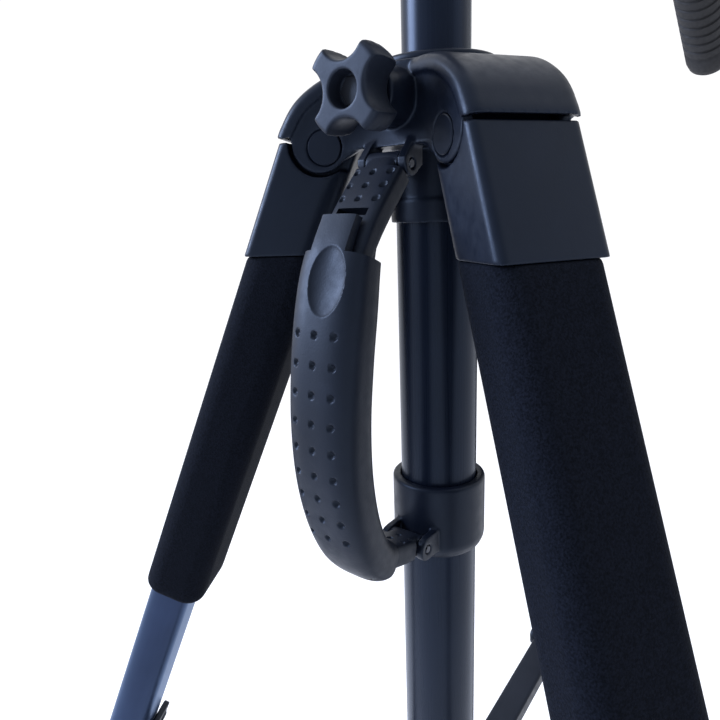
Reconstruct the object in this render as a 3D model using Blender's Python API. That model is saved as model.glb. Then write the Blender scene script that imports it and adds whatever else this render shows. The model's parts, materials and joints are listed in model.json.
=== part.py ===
"""Three-legged camera tripod with a fluid head, modelled as separate parts.

Metres, +Z up, floor at z = 0, legs fully spread and extended.  The column lock
knob and the carrying handle face -Y, the pan handle points towards +Y.
"""
import math

import bmesh
import bpy
from mathutils import Matrix, Vector

MM = 0.001
GAP = 0.3 * MM              # clearance kept between touching pieces

# ---- driving dimensions -------------------------------------------------
PIVOT_Z = 1.125             # leg hinge height above the floor
CROWN_TOP = PIVOT_Z + 0.028  # top of the bushing flange
SPREAD = math.radians(22.6)  # leg angle from vertical, fully spread
PIVOT_R = 0.0374            # leg hinge distance from the column axis
ARMS = {"left": -150.0, "right": -30.0, "rear": 90.0}
AXIS_Y = -0.12485            # column axis, so the box centre is the origin

COLUMN_R = 0.0120
COLUMN_TOP = 0.110          # above the crown top
COLUMN_LENGTH = 0.500
GUIDE_R = 0.0150
GUIDE_BOTTOM = -0.490       # below the crown top
SKIRT_R = 0.0168
SKIRT_BOTTOM = -0.054
FLANGE_R = 0.0208

ARM_HALF = 0.0203           # half width of a crown arm and of a leg yoke
SLOT_HALF = 0.0148          # half of the gap between an arm's two ears
TONGUE_HALF = SLOT_HALF - 0.0004
PIN_R = 0.0030
PIN_CAP_R = 0.00575

SEAM_Z = -0.0640            # level joint between yoke and foam
FOAM_END = 0.197            # along the leg
LEG_MID = 0.0045            # tube centre line, outwards from the hinge line
FOAM_MID = 0.0026
UPPER_TUBE = (0.0310, 0.0180)   # width and depth of the flat oval tubes
MIDDLE_TUBE = (0.0270, 0.0135)
LOWER_TUBE = (0.0230, 0.0098)
TUBE_WALL = 0.0011
UPPER_SPAN = (0.060, 0.461)     # start and end along the leg
MIDDLE_SPAN = (0.395, 0.841)
LOWER_SPAN = (0.775, 1.195)
LOCK_LENGTH = 0.050

BRACKET_S = 0.305           # strut hinge along the leg
BRACKET_N = -0.025          # strut hinge inwards from the hinge line
HUB_PIVOT_R = 0.036
STRUT_SLOPE = math.radians(9.5)
STRUT_HALF = 0.0072

KNOB_Z = -0.0143
COLLAR_R = 0.0185
COLLAR_TOP = -0.1535
COLLAR_BOTTOM = -0.1835
UPPER_LUG = (-0.0300, -0.0350)  # handle link hinge under the crown, y and z
LOWER_LUG = (-0.0235, -0.1745)  # handle link hinge on the collar, y and z

TILT_Z = 0.084              # tilt axis above the column top
HANDLE_ANGLE = math.radians(32)

MATERIALS = {
    "crown_plastic": ((0.030, 0.034, 0.045), 0.42, 0.0),
    "yoke_plastic": ((0.028, 0.032, 0.044), 0.38, 0.0),
    "column_metal": ((0.028, 0.032, 0.045), 0.25, 0.8),
    "leg_metal": ((0.024, 0.032, 0.058), 0.30, 0.8),
    "foam": ((0.012, 0.013, 0.016), 0.95, 0.0),
    "soft_plastic": ((0.032, 0.036, 0.048), 0.60, 0.0),
    "knob_plastic": ((0.030, 0.034, 0.044), 0.50, 0.0),
    "lever_plastic": ((0.026, 0.028, 0.034), 0.40, 0.0),
    "head_metal": ((0.040, 0.042, 0.048), 0.45, 0.6),
    "steel": ((0.45, 0.46, 0.48), 0.30, 1.0),
    "rubber": ((0.016, 0.016, 0.018), 0.85, 0.0),
}


# ---- scene and materials ------------------------------------------------
def clear_scene():
    for thing in list(bpy.data.objects):
        bpy.data.objects.remove(thing, do_unlink=True)


def material(slot):
    """The slot's Principled material, made once."""
    found = bpy.data.materials.get(slot)
    if found:
        return found
    colour, roughness, metallic = MATERIALS[slot]
    made = bpy.data.materials.new(slot)
    made.use_nodes = True
    shader = made.node_tree.nodes["Principled BSDF"]
    shader.inputs["Base Color"].default_value = (*colour, 1.0)
    shader.inputs["Roughness"].default_value = roughness
    shader.inputs["Metallic"].default_value = metallic
    return made


def empty(name, parent=None, location=(0, 0, 0), turn=None):
    made = bpy.data.objects.new(name, None)
    bpy.context.scene.collection.objects.link(made)
    made.parent = parent
    made.location = location
    if turn:
        made.rotation_euler = turn
    return made


def part(name, mesh, slot, parent, location=(0, 0, 0), smooth=40):
    """Link a mesh as a named part under its parent empty."""
    if isinstance(mesh, bmesh.types.BMesh):
        mesh = mesh_from(name, mesh, smooth)
    made = bpy.data.objects.new(name, mesh)
    if slot and not mesh.materials:
        mesh.materials.append(material(slot))
    bpy.context.scene.collection.objects.link(made)
    made.parent = parent
    made.location = location
    return made


def mesh_from(name, shape, smooth=40):
    bmesh.ops.recalc_face_normals(shape, faces=shape.faces)
    mesh = bpy.data.meshes.new(name)
    shape.to_mesh(mesh)
    shape.free()
    mesh.shade_smooth()
    mesh.set_sharp_from_angle(angle=math.radians(smooth))
    return mesh


def boolean(target, cutters, operation="DIFFERENCE"):
    """Cut, or join, shapes that live in the same parent's frame."""
    for count, cutter in enumerate(cutters):
        tool = part(f"{target.name}_{operation.lower()}_{count}", cutter, None, target.parent)
        tool.hide_render = True
        tool.display_type = "WIRE"
        step = target.modifiers.new(f"{operation.lower()}_{count}", "BOOLEAN")
        step.object = tool
        step.operation = operation
        step.solver = "EXACT"
    return target


# ---- shapes -------------------------------------------------------------
def loft(rings, closed=False):
    """Skin rings of equal point counts; the ends are capped unless closed."""
    shape = bmesh.new()
    rows = [[shape.verts.new(point) for point in ring] for ring in rings]
    pairs = list(zip(rows, rows[1:]))
    if closed:
        pairs.append((rows[-1], rows[0]))
    for low, high in pairs:
        for i in range(len(low)):
            j = (i + 1) % len(low)
            shape.faces.new((low[i], low[j], high[j], high[i]))
    if not closed:
        shape.faces.new(rows[0])
        shape.faces.new(rows[-1])
    return shape


def turned(profile, sides=32, axis="Z", centre=(0, 0, 0)):
    """Turn a closed (radius, height) outline around an axis."""
    rings = []
    for i in range(sides):
        angle = 2 * math.pi * i / sides
        rings.append([(r * math.cos(angle), r * math.sin(angle), h) for r, h in profile])
    shape = loft(rings, closed=True)
    return placed(shape, axis, centre)


def rod(radius, low, high, sides=24, axis="Z", centre=(0, 0, 0)):
    """A solid cylinder from low to high along an axis."""
    rings = [[(radius * math.cos(2 * math.pi * i / sides), radius * math.sin(2 * math.pi * i / sides), h)
              for i in range(sides)] for h in (low, high)]
    return placed(loft(rings), axis, centre)


def placed(shape, axis, centre):
    """Turn +Z to the named axis, then move to the centre."""
    turn = Matrix.Identity(4)
    if axis == "X":
        turn = Matrix.Rotation(math.pi / 2, 4, "Y")
    if axis == "Y":
        turn = Matrix.Rotation(-math.pi / 2, 4, "X")
    bmesh.ops.transform(shape, matrix=Matrix.Translation(centre) @ turn, verts=shape.verts)
    return shape


def slab(outline, low, high, plane="XZ"):
    """Extrude an outline between two distances across its plane."""
    lift = {
        "XZ": lambda u, v, w: (u, w, v),
        "YZ": lambda u, v, w: (w, u, v),
        "XY": lambda u, v, w: (u, v, w),
    }[plane]
    return loft([[lift(u, v, w) for u, v in outline] for w in (low, high)])


def box(low, high):
    outline = [(low[0], low[1]), (high[0], low[1]), (high[0], high[1]), (low[0], high[1])]
    return slab(outline, low[2], high[2], "XY")


def arc(centre, radius, start, end, steps):
    """Points of an arc, in degrees, both ends included."""
    points = []
    for i in range(steps + 1):
        angle = math.radians(start + (end - start) * i / steps)
        points.append((centre[0] + radius * math.cos(angle), centre[1] + radius * math.sin(angle)))
    return points


def rounded(width, depth, corner, steps=4):
    """A rounded rectangle, width along Y and depth along X."""
    half_w, half_d = width / 2 - corner, depth / 2 - corner
    points = []
    for sx, sy, start in ((1, 1, 0), (-1, 1, 90), (-1, -1, 180), (1, -1, 270)):
        points += arc((sx * half_d, sy * half_w), corner, start, start + 90, steps)
    return points


# ---- crown group --------------------------------------------------------
HOOD = [(0.0125, -0.0030), (0.022, -0.0030), (0.034, -0.0048), (0.0415, -0.0080), (0.0475, -0.0122),
        (0.0518, -0.0172), (0.0545, -0.0235)]
HOOD_INNER = [(0.0520, -0.0235), (0.0490, -0.0185), (0.0455, -0.0150), (0.0400, -0.0118),
              (0.0330, -0.0095), (0.0235, -0.0090)]
EAR_CENTRE = (0.0389, -0.0265)
EAR_R = 0.0098


def crown_arm(azimuth):
    """One hooded arm with two round ears, the slot between them open below."""
    ear = [(0.0520, -0.0235), (EAR_CENTRE[0] + EAR_R, -0.0235)]
    ear += arc(EAR_CENTRE, EAR_R, 0, -140, 10)
    ear += [(0.0240, -0.0286), (0.0125, -0.0286)]
    turn = Matrix.Rotation(math.radians(azimuth), 4, "Z")
    solid = slab(HOOD + ear, -ARM_HALF, ARM_HALF)
    slot_outline = HOOD_INNER + [(0.0235, -0.0400), (0.0700, -0.0400), (0.0700, -0.0236)]
    slot = slab(slot_outline, -SLOT_HALF, SLOT_HALF)
    for shape in (solid, slot):
        bmesh.ops.transform(shape, matrix=turn, verts=shape.verts)
    return solid, slot


def pin_holes(azimuth):
    """The hinge bore through the ears, with a shallow seat for each cap."""
    seat_r, seat_depth = PIN_CAP_R + GAP, ARM_HALF - 0.0013
    bore_r = PIN_R + GAP
    sides = 16
    rings = [[(r * math.cos(2 * math.pi * i / sides), r * math.sin(2 * math.pi * i / sides), h)
              for i in range(sides)]
             for r, h in ((seat_r, -0.03), (seat_r, -seat_depth), (bore_r, -seat_depth),
                          (bore_r, seat_depth), (seat_r, seat_depth), (seat_r, 0.03))]
    shape = placed(loft(rings), "Y", (PIVOT_R, 0, -0.028))
    bmesh.ops.transform(shape, matrix=Matrix.Rotation(math.radians(azimuth), 4, "Z"), verts=shape.verts)
    return shape


def make_crown(hub):
    core = turned([(0.0120, -0.0032), (0.0120, SKIRT_BOTTOM), (SKIRT_R, SKIRT_BOTTOM), (SKIRT_R, -0.0290),
                   (0.0300, -0.0290), (0.0300, -0.0032)], 36)
    crown = part("crown", core, "crown_plastic", hub)
    arms = [crown_arm(azimuth) for azimuth in ARMS.values()]
    boss = rod(0.0085, 0.020, 0.0385, 16, "Y", (0, 0, KNOB_Z))
    bmesh.ops.transform(boss, matrix=Matrix.Rotation(math.pi, 4, "Z"), verts=boss.verts)
    lugs = []
    for side in (-1, 1):
        outline = [(-0.0240, -0.0250)] + [(-0.0240, -0.0360)]
        outline += arc(UPPER_LUG, 0.0042, -60, -180, 5)[0:]
        outline += [(-0.0345, -0.0250)]
        low, high = sorted((side * 0.0064, side * 0.0094))
        lugs.append(slab(outline, low, high, "YZ"))
    boolean(crown, [arm[0] for arm in arms] + [boss] + lugs, "UNION")
    cuts = [arm[1] for arm in arms] + [pin_holes(azimuth) for azimuth in ARMS.values()]
    cuts.append(rod(0.0152, -0.10, 0.01, 36))
    cuts.append(rod(0.0033, -0.06, 0.0, 16, "Y", (0, 0, KNOB_Z)))
    cuts.append(rod(0.0015 + GAP, -0.03, 0.03, 16, "X", (0, *UPPER_LUG)))
    boolean(crown, cuts)
    return crown


def make_bushing(hub):
    """Flange and sleeve that guide the column, with a split side for the brake."""
    profile = [(0.0122, 0.0), (0.0122, -0.0265), (0.0149, -0.0265), (0.0149, -0.0027),
               (FLANGE_R, -0.0027), (FLANGE_R, -0.0008), (FLANGE_R - 0.0012, 0.0)]
    part("top_bushing", turned(profile, 32), "crown_plastic", hub)


def make_guide_tube(hub):
    profile = [(GUIDE_R - 0.0016, -0.0270), (GUIDE_R - 0.0016, GUIDE_BOTTOM), (GUIDE_R, GUIDE_BOTTOM),
               (GUIDE_R, -0.0270)]
    part("guide_tube", turned(profile, 32), "column_metal", hub)


def make_lock_knob(hub):
    """Four-lobed knob, its face dished around a round hole, on a screw."""
    sides = 40
    rows = ((0.0, 0.62), (0.0010, 0.86), (0.0040, 1.0), (0.0095, 1.0), (0.0125, 0.86), (0.0132, 0.72))
    rings = []
    for depth, scale in rows:
        ring = []
        for i in range(sides):
            angle = 2 * math.pi * i / sides
            lobe = 0.5 - 0.5 * math.cos(4 * angle)
            radius = (0.0074 + 0.0056 * lobe ** 1.3) * scale
            ring.append((radius * math.sin(angle), -0.0388 - depth, KNOB_Z + radius * math.cos(angle)))
        rings.append(ring)
    knob = part("column_lock_knob", loft(rings), "knob_plastic", hub)
    boolean(knob, [rod(0.0030, -0.0420, -0.0153, 16, "Y", (0, 0, KNOB_Z))], "UNION")
    boolean(knob, [rod(0.0050, -0.0600, -0.0500, 16, "Y", (0, 0, KNOB_Z))])


# ---- carrying handle ----------------------------------------------------
GRIP_PATH = [((-0.0515, -0.0580), 0.0215, 0.0130), ((-0.0560, -0.0660), 0.0245, 0.0165),
             ((-0.0590, -0.0780), 0.0260, 0.0180), ((-0.0620, -0.0940), 0.0262, 0.0182),
             ((-0.0640, -0.1120), 0.0260, 0.0180), ((-0.0638, -0.1300), 0.0256, 0.0178),
             ((-0.0610, -0.1460), 0.0250, 0.0172), ((-0.0560, -0.1590), 0.0240, 0.0165),
             ((-0.0500, -0.1665), 0.0225, 0.0155), ((-0.0450, -0.1695), 0.0210, 0.0145)]


def path_rings(path, steps=4):
    """Rounded sections across a path in the YZ plane."""
    rings = []
    for i, (point, width, depth) in enumerate(path):
        before = Vector(path[max(i - 1, 0)][0])
        after = Vector(path[min(i + 1, len(path) - 1)][0])
        along = (after - before).normalized()
        across = Vector((-along.y, along.x))
        ring = []
        for u, v in rounded(width, depth, depth * 0.46, steps):
            spot = Vector(point) + across * u
            ring.append((v, spot.x, spot.y))
        rings.append(ring)
    return rings


def make_handle(hub):
    collar = turned([(GUIDE_R + GAP, COLLAR_TOP), (GUIDE_R + GAP, COLLAR_BOTTOM),
                     (COLLAR_R - 0.0022, COLLAR_BOTTOM), (COLLAR_R, COLLAR_BOTTOM + 0.0050),
                     (COLLAR_R, COLLAR_TOP - 0.0008), (COLLAR_R - 0.0008, COLLAR_TOP)], 32)
    holder = part("handle_collar", collar, "crown_plastic", hub)
    lugs = []
    for side in (-1, 1):
        outline = [(-0.0160, -0.1700), (-0.0160, -0.1790)] + arc(LOWER_LUG, 0.0042, -90, -270, 8)
        low, high = sorted((side * 0.0069, side * 0.0098))
        lugs.append(slab(outline, low, high, "YZ"))
    boolean(holder, lugs, "UNION")
    boolean(holder, [rod(0.0015 + GAP, -0.03, 0.03, 16, "X", (0, *LOWER_LUG))])

    pull = empty("handle_pull_frame", hub)
    grip = part("handle_grip", loft(path_rings(GRIP_PATH)), "soft_plastic", pull)
    upper_mouth = [((-0.0440, -0.0480), 0.0196, 0.0108), ((-0.0530, -0.0600), 0.0196, 0.0122),
                   ((-0.0580, -0.0700), 0.0196, 0.0136), ((-0.0600, -0.0760), 0.0190, 0.0136)]
    lower_mouth = [((-0.0350, -0.1715), 0.0176, 0.0115), ((-0.0460, -0.1690), 0.0176, 0.0118),
                   ((-0.0545, -0.1655), 0.0176, 0.0124)]
    boolean(grip, [loft(path_rings(upper_mouth, 3)), loft(path_rings(lower_mouth, 3))])

    upper_link = [((-0.0300, -0.0350), 0.0122, 0.0080), ((-0.0335, -0.0385), 0.0122, 0.0082),
                  ((-0.0362, -0.0412), 0.0186, 0.0084), ((-0.0440, -0.0490), 0.0186, 0.0084),
                  ((-0.0530, -0.0605), 0.0180, 0.0080), ((-0.0545, -0.0632), 0.0176, 0.0076)]
    swing = empty("handle_upper_swing", hub, (0, *UPPER_LUG))
    rings = [[(x, y - UPPER_LUG[0], z - UPPER_LUG[1]) for x, y, z in ring]
             for ring in path_rings(upper_link, 3)]
    link = part("handle_upper_link", loft(rings), "soft_plastic", swing)
    boolean(link, [rod(0.0041, -0.0061, 0.0061, 20, "X")], "UNION")
    boolean(link, [rod(0.0015 + GAP, -0.03, 0.03, 16, "X")])

    lower_link = [((-0.0235, -0.1745), 0.0130, 0.0082), ((-0.0290, -0.1732), 0.0130, 0.0084),
                  ((-0.0305, -0.1728), 0.0166, 0.0088), ((-0.0420, -0.1702), 0.0160, 0.0088),
                  ((-0.0462, -0.1686), 0.0156, 0.0080)]
    link = part("handle_lower_link", loft(path_rings(lower_link, 3)), "soft_plastic", hub)
    boolean(link, [rod(0.0041, -0.0065, 0.0065, 20, "X", (0, *LOWER_LUG))], "UNION")
    boolean(link, [rod(0.0015 + GAP, -0.03, 0.03, 16, "X", (0, *LOWER_LUG))])
    for name, half, spot in (("handle_upper_pin", 0.0094, UPPER_LUG), ("handle_lower_pin", 0.0098, LOWER_LUG)):
        part(name, rod(0.0015, -half, half, 16, "X"), "steel", hub, (0, *spot))


# ---- legs: a frame at the hinge, X outwards across the leg, -Z along it ---
def across_leg(width, depth, corner, mid, stations):
    """Rings across the leg; a station is (s, slope) where slope tips the ring."""
    rings = []
    for s, slope, grow in stations:
        ring = []
        for n, t in rounded(width + grow, depth + grow, corner + grow / 2):
            ring.append((mid + n, t, -(s + (mid + n) * slope)))
        rings.append(ring)
    return rings


def tube(section, span, corner_share=0.48, slope=0.0):
    """A flat oval tube, open at both ends."""
    width, depth = section
    inner_w, inner_d = width - 2 * TUBE_WALL, depth - 2 * TUBE_WALL
    ends = ((span[0], slope), (span[1], 0.0))
    outer = across_leg(width, depth, depth * corner_share, LEG_MID, [(s, k, 0) for s, k in ends])
    inner = across_leg(inner_w, inner_d, inner_d * corner_share, LEG_MID, [(s, k, 0) for s, k in ends])
    return loft([outer[0], outer[1], inner[1], inner[0]], closed=True)


LEVEL = math.tan(SPREAD)    # slope of a ring that is level at rest


def seam_s(z):
    """Distance along the leg where a level plane crosses the hinge line."""
    return (-0.028 - z) / math.cos(SPREAD)


def make_yoke(leg, name):
    """Leg top casting: level top and seam, a tongue for the hinge, a tube plug."""
    top, seam = seam_s(-0.0250), seam_s(SEAM_Z)
    body = across_leg(0.0400, 0.0262, 0.0075, FOAM_MID, [(top, LEVEL, 0.0), (seam, LEVEL, 0.0)])
    rows = []
    for share in (0.0, 0.35, 0.7, 1.0):
        row = []
        for upper, lower in zip(body[0], body[1]):
            lean = 0.0022 * (1 - share) * (1 if upper[0] > FOAM_MID else -1)
            row.append((upper[0] + (lower[0] - upper[0]) * share + lean, upper[1],
                        upper[2] + (lower[2] - upper[2]) * share))
        rows.append(row)
    yoke = part(name, loft(rows), "yoke_plastic", leg)
    tongue = [(-0.0095, -0.0220)] + arc((0, 0), 0.0088, 200, 20, 10) + [(0.0120, -0.0240)]
    plug = across_leg(0.0282, 0.0152, 0.0070, LEG_MID, [(seam - 0.004, LEVEL, 0), (0.072, 0, 0)])
    boolean(yoke, [slab(tongue, -TONGUE_HALF, TONGUE_HALF), loft(plug)], "UNION")
    turn = Matrix.Rotation(SPREAD, 4, "Y")
    cuts = []
    for side in (-1, 1):
        pocket = [(0.0150, 0.0300), (0.0150, -0.0035)] + arc((0.0025, 0.0005), 0.0120, -20, -125, 9)
        pocket += [(-0.0300, -0.0108), (-0.0300, 0.0300)]
        low, high = sorted((side * (TONGUE_HALF), side * 0.0300))
        shape = slab(pocket, low, high)
        bmesh.ops.transform(shape, matrix=turn, verts=shape.verts)
        cuts.append(shape)
    inner_relief = box((-0.0300, -0.0300, -0.0080), (-0.0122, 0.0300, 0.0300))
    bmesh.ops.transform(inner_relief, matrix=turn, verts=inner_relief.verts)
    cuts += [inner_relief, rod(PIN_R + GAP, -0.03, 0.03, 20, "Y")]
    boolean(yoke, cuts)


def make_foam(leg, name):
    """Foam sleeve with a level top and a rounded lower end."""
    seam = seam_s(SEAM_Z) + GAP
    width, depth, corner = 0.0402, 0.0262, 0.0085
    outer = across_leg(width, depth, corner, FOAM_MID,
                       [(seam, LEVEL, -0.0006), (seam + 0.004, LEVEL, 0), (FOAM_END - 0.006, 0, 0),
                        (FOAM_END - 0.002, 0, -0.0022), (FOAM_END, 0, -0.0060)])
    inner = across_leg(UPPER_TUBE[0] + 2 * GAP, UPPER_TUBE[1] + 2 * GAP, UPPER_TUBE[1] * 0.48, LEG_MID,
                       [(FOAM_END, 0, 0), (seam, LEVEL, 0)])
    part(name, loft(outer + inner, closed=True), "foam", leg)


def lock_body(leg, name, s, outer_tube, inner_tube):
    """Clamp housing on a tube's end, with two lugs for its lever."""
    width, depth = outer_tube
    top = s - LOCK_LENGTH
    rings = across_leg(width + 0.0066, depth + 0.0066, depth * 0.5, LEG_MID,
                       [(top, 0, -0.0016), (top + 0.002, 0, 0), (s - 0.003, 0, 0), (s, 0, -0.0024)])
    body = part(name, loft(rings), "lever_plastic", leg)
    face = LEG_MID + depth / 2 + 0.0033
    lugs = []
    for side in (-1, 1):
        outline = [(face - 0.003, -(top + 0.003)), (face - 0.003, -(top + 0.017))]
        outline += arc((face + 0.0040, -(top + 0.010)), 0.0042, -60, 60, 6)
        low, high = sorted((side * 0.0112, side * 0.0142))
        lugs.append(slab(outline, low, high))
    boolean(body, lugs, "UNION")
    socket = across_leg(width + 2 * GAP, depth + 2 * GAP, depth * 0.48, LEG_MID,
                        [(top - 0.01, 0, 0), (top + 0.0165, 0, 0)])
    passage = across_leg(inner_tube[0] + 2 * GAP, inner_tube[1] + 2 * GAP, inner_tube[1] * 0.48, LEG_MID,
                         [(top, 0, 0), (s + 0.01, 0, 0)])
    hinge = (face + 0.0040, 0, -(top + 0.010))
    boolean(body, [loft(socket), loft(passage), rod(0.0016 + GAP, -0.02, 0.02, 16, "Y", hinge)])
    return hinge


def lock_lever(leg, name, hinge):
    """Flip lever hanging down from its hinge, its tip curved outwards."""
    swing = empty(f"{name}_swing", leg, hinge)
    outline = arc((0, 0), 0.0036, 150, 10, 8)
    outline += [(0.0036, -0.004), (0.0026, -0.022), (0.0046, -0.0330), (0.0086, -0.0390),
                (0.0070, -0.0402), (0.0018, -0.0350), (-0.0014, -0.0240), (-0.0022, -0.006)]
    lever = part(name, slab(outline, -0.0108, 0.0108), "lever_plastic", swing)
    boolean(lever, [rod(0.0016, -0.0139, 0.0139, 16, "Y")], "UNION")


def make_foot(leg, name):
    """Rubber foot: a socket for the tube and a sole that is level at rest."""
    floor_s = PIVOT_Z / math.cos(SPREAD)
    width, depth = LOWER_TUBE
    rings = across_leg(width + 0.0060, depth + 0.0060, depth * 0.62, LEG_MID,
                       [(floor_s - 0.052, 0, 0), (floor_s - 0.024, 0, 0.001), (floor_s - 0.018, 0, 0.010),
                        (floor_s - 0.010, LEVEL, 0.0135), (floor_s - 0.001, LEVEL, 0.0120),
                        (floor_s, LEVEL, 0.0095)])
    foot = part(name, loft(rings), "rubber", leg)
    socket = across_leg(width + 2 * GAP, depth + 2 * GAP, depth * 0.48, LEG_MID,
                        [(floor_s - 0.060, 0, 0), (LOWER_SPAN[1] + 0.0004, 0, 0)])
    boolean(foot, [loft(socket)])


def make_bracket(leg, name):
    """Saddle on the tube's inner side with two cheeks and the strut's pin."""
    face = LEG_MID - UPPER_TUBE[1] / 2 - GAP
    saddle = box((face - 0.003, -0.0145, -(BRACKET_S + 0.020)), (face, 0.0145, -(BRACKET_S - 0.020)))
    bracket = part(name, saddle, "lever_plastic", leg)
    cheeks = []
    for side in (-1, 1):
        outline = [(face - 0.002, -(BRACKET_S - 0.012)), (face - 0.002, -(BRACKET_S + 0.012))]
        outline += arc((BRACKET_N, -BRACKET_S), 0.0058, -100, -260, 8)
        low, high = sorted((side * (STRUT_HALF + 0.0005), side * 0.0105))
        cheeks.append(slab(outline, low, high))
    pin = rod(0.0018, -0.0115, 0.0115, 16, "Y", (BRACKET_N, 0, -BRACKET_S))
    boolean(bracket, cheeks + [pin], "UNION")


def strut_ends():
    """Hub pivot height and strut length, with the leg fully spread."""
    r = PIVOT_R + BRACKET_S * math.sin(SPREAD) + BRACKET_N * math.cos(SPREAD)
    z = -0.028 - BRACKET_S * math.cos(SPREAD) + BRACKET_N * math.sin(SPREAD)
    length = (r - HUB_PIVOT_R) / math.cos(STRUT_SLOPE)
    return r, z, length, z - length * math.sin(STRUT_SLOPE)


def make_strut(arm, name):
    """Flat channel from the leg's bracket down to the hub."""
    r, z, length, _ = strut_ends()
    frame = empty(f"{name}_frame", arm, (r, 0, z), (0, -STRUT_SLOPE, 0))
    half = 0.0040
    outline = arc((0, 0), half, 90, -90, 8) + arc((-length, 0), half, -90, -270, 8)
    strut = part(name, slab(outline, -STRUT_HALF, STRUT_HALF), "lever_plastic", frame)
    channel = box((-length + 0.012, -STRUT_HALF + 0.0016, -0.0100), (-0.012, STRUT_HALF - 0.0016, 0.0018))
    boolean(strut, [channel, rod(0.0018 + GAP, -0.02, 0.02, 16, "Y")])


def make_hub(hub):
    """Ring on the guide tube with a pair of cheeks for each strut."""
    _, _, _, z = strut_ends()
    ring = turned([(GUIDE_R + GAP, z + 0.010), (GUIDE_R + GAP, z - 0.010), (0.0190, z - 0.010),
                   (0.0200, z - 0.009), (0.0200, z + 0.009), (0.0190, z + 0.010)], 32)
    made = part("brace_hub", ring, "lever_plastic", hub)
    cheeks = []
    for azimuth in ARMS.values():
        for side in (-1, 1):
            outline = [(0.0175, z - 0.0075)] + arc((HUB_PIVOT_R, z), 0.0055, -90, 90, 6) + [(0.0175, z + 0.0075)]
            low, high = sorted((side * (STRUT_HALF + 0.0005), side * 0.0105))
            shape = slab(outline, low, high)
            head = rod(0.0030, 0.0100, 0.0118, 10, "Y", (HUB_PIVOT_R, 0, z))
            if side < 0:
                bmesh.ops.transform(head, matrix=Matrix.Scale(-1, 4, (0, 1, 0)), verts=head.verts)
                bmesh.ops.reverse_faces(head, faces=head.faces)
            for piece in (shape, head):
                bmesh.ops.transform(piece, matrix=Matrix.Rotation(math.radians(azimuth), 4, "Z"),
                                    verts=piece.verts)
                cheeks.append(piece)
    boolean(made, cheeks, "UNION")


def make_leg(hub, side, azimuth):
    arm = empty(f"arm_{side}", hub, turn=(0, 0, math.radians(azimuth)))
    leg = empty(f"leg_{side}", arm, (PIVOT_R, 0, -0.028), (0, -SPREAD, 0))
    pin_rings = [[(r * math.cos(2 * math.pi * i / 20), h, r * math.sin(2 * math.pi * i / 20))
                  for i in range(20)]
                 for r, h in ((PIN_CAP_R, -0.0200), (PIN_CAP_R, -0.0193), (PIN_R, -0.0193),
                              (PIN_R, 0.0193), (PIN_CAP_R, 0.0193), (PIN_CAP_R, 0.0200))]
    part(f"leg_pin_{side}", loft(pin_rings), "crown_plastic", arm, (PIVOT_R, 0, -0.028))
    make_yoke(leg, f"yoke_{side}")
    make_foam(leg, f"foam_grip_{side}")
    start = seam_s(SEAM_Z) + GAP
    part(f"upper_tube_{side}", tube(UPPER_TUBE, (start, UPPER_SPAN[1]), slope=LEVEL), "leg_metal", leg)
    part(f"middle_tube_{side}", tube(MIDDLE_TUBE, MIDDLE_SPAN), "leg_metal", leg)
    part(f"lower_tube_{side}", tube(LOWER_TUBE, LOWER_SPAN), "leg_metal", leg)
    make_bracket(leg, f"brace_bracket_{side}")
    make_strut(arm, f"brace_strut_{side}")
    upper = lock_body(leg, f"upper_lock_{side}", UPPER_SPAN[1] + 0.034, UPPER_TUBE, MIDDLE_TUBE)
    lock_lever(leg, f"upper_lever_{side}", upper)
    lower = lock_body(leg, f"lower_lock_{side}", MIDDLE_SPAN[1] + 0.034, MIDDLE_TUBE, LOWER_TUBE)
    lock_lever(leg, f"lower_lever_{side}", lower)
    make_foot(leg, f"foot_{side}")


# ---- column and fluid head: a frame at the column's top -------------------
def make_column(top):
    inner = COLUMN_R - 0.0013
    profile = [(inner, -COLUMN_LENGTH), (COLUMN_R, -COLUMN_LENGTH), (COLUMN_R, -0.0090),
               (0.0230, -0.0070), (0.0230, 0.0), (inner, 0.0)]
    part("centre_column", turned(profile, 32), "column_metal", top)


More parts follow.
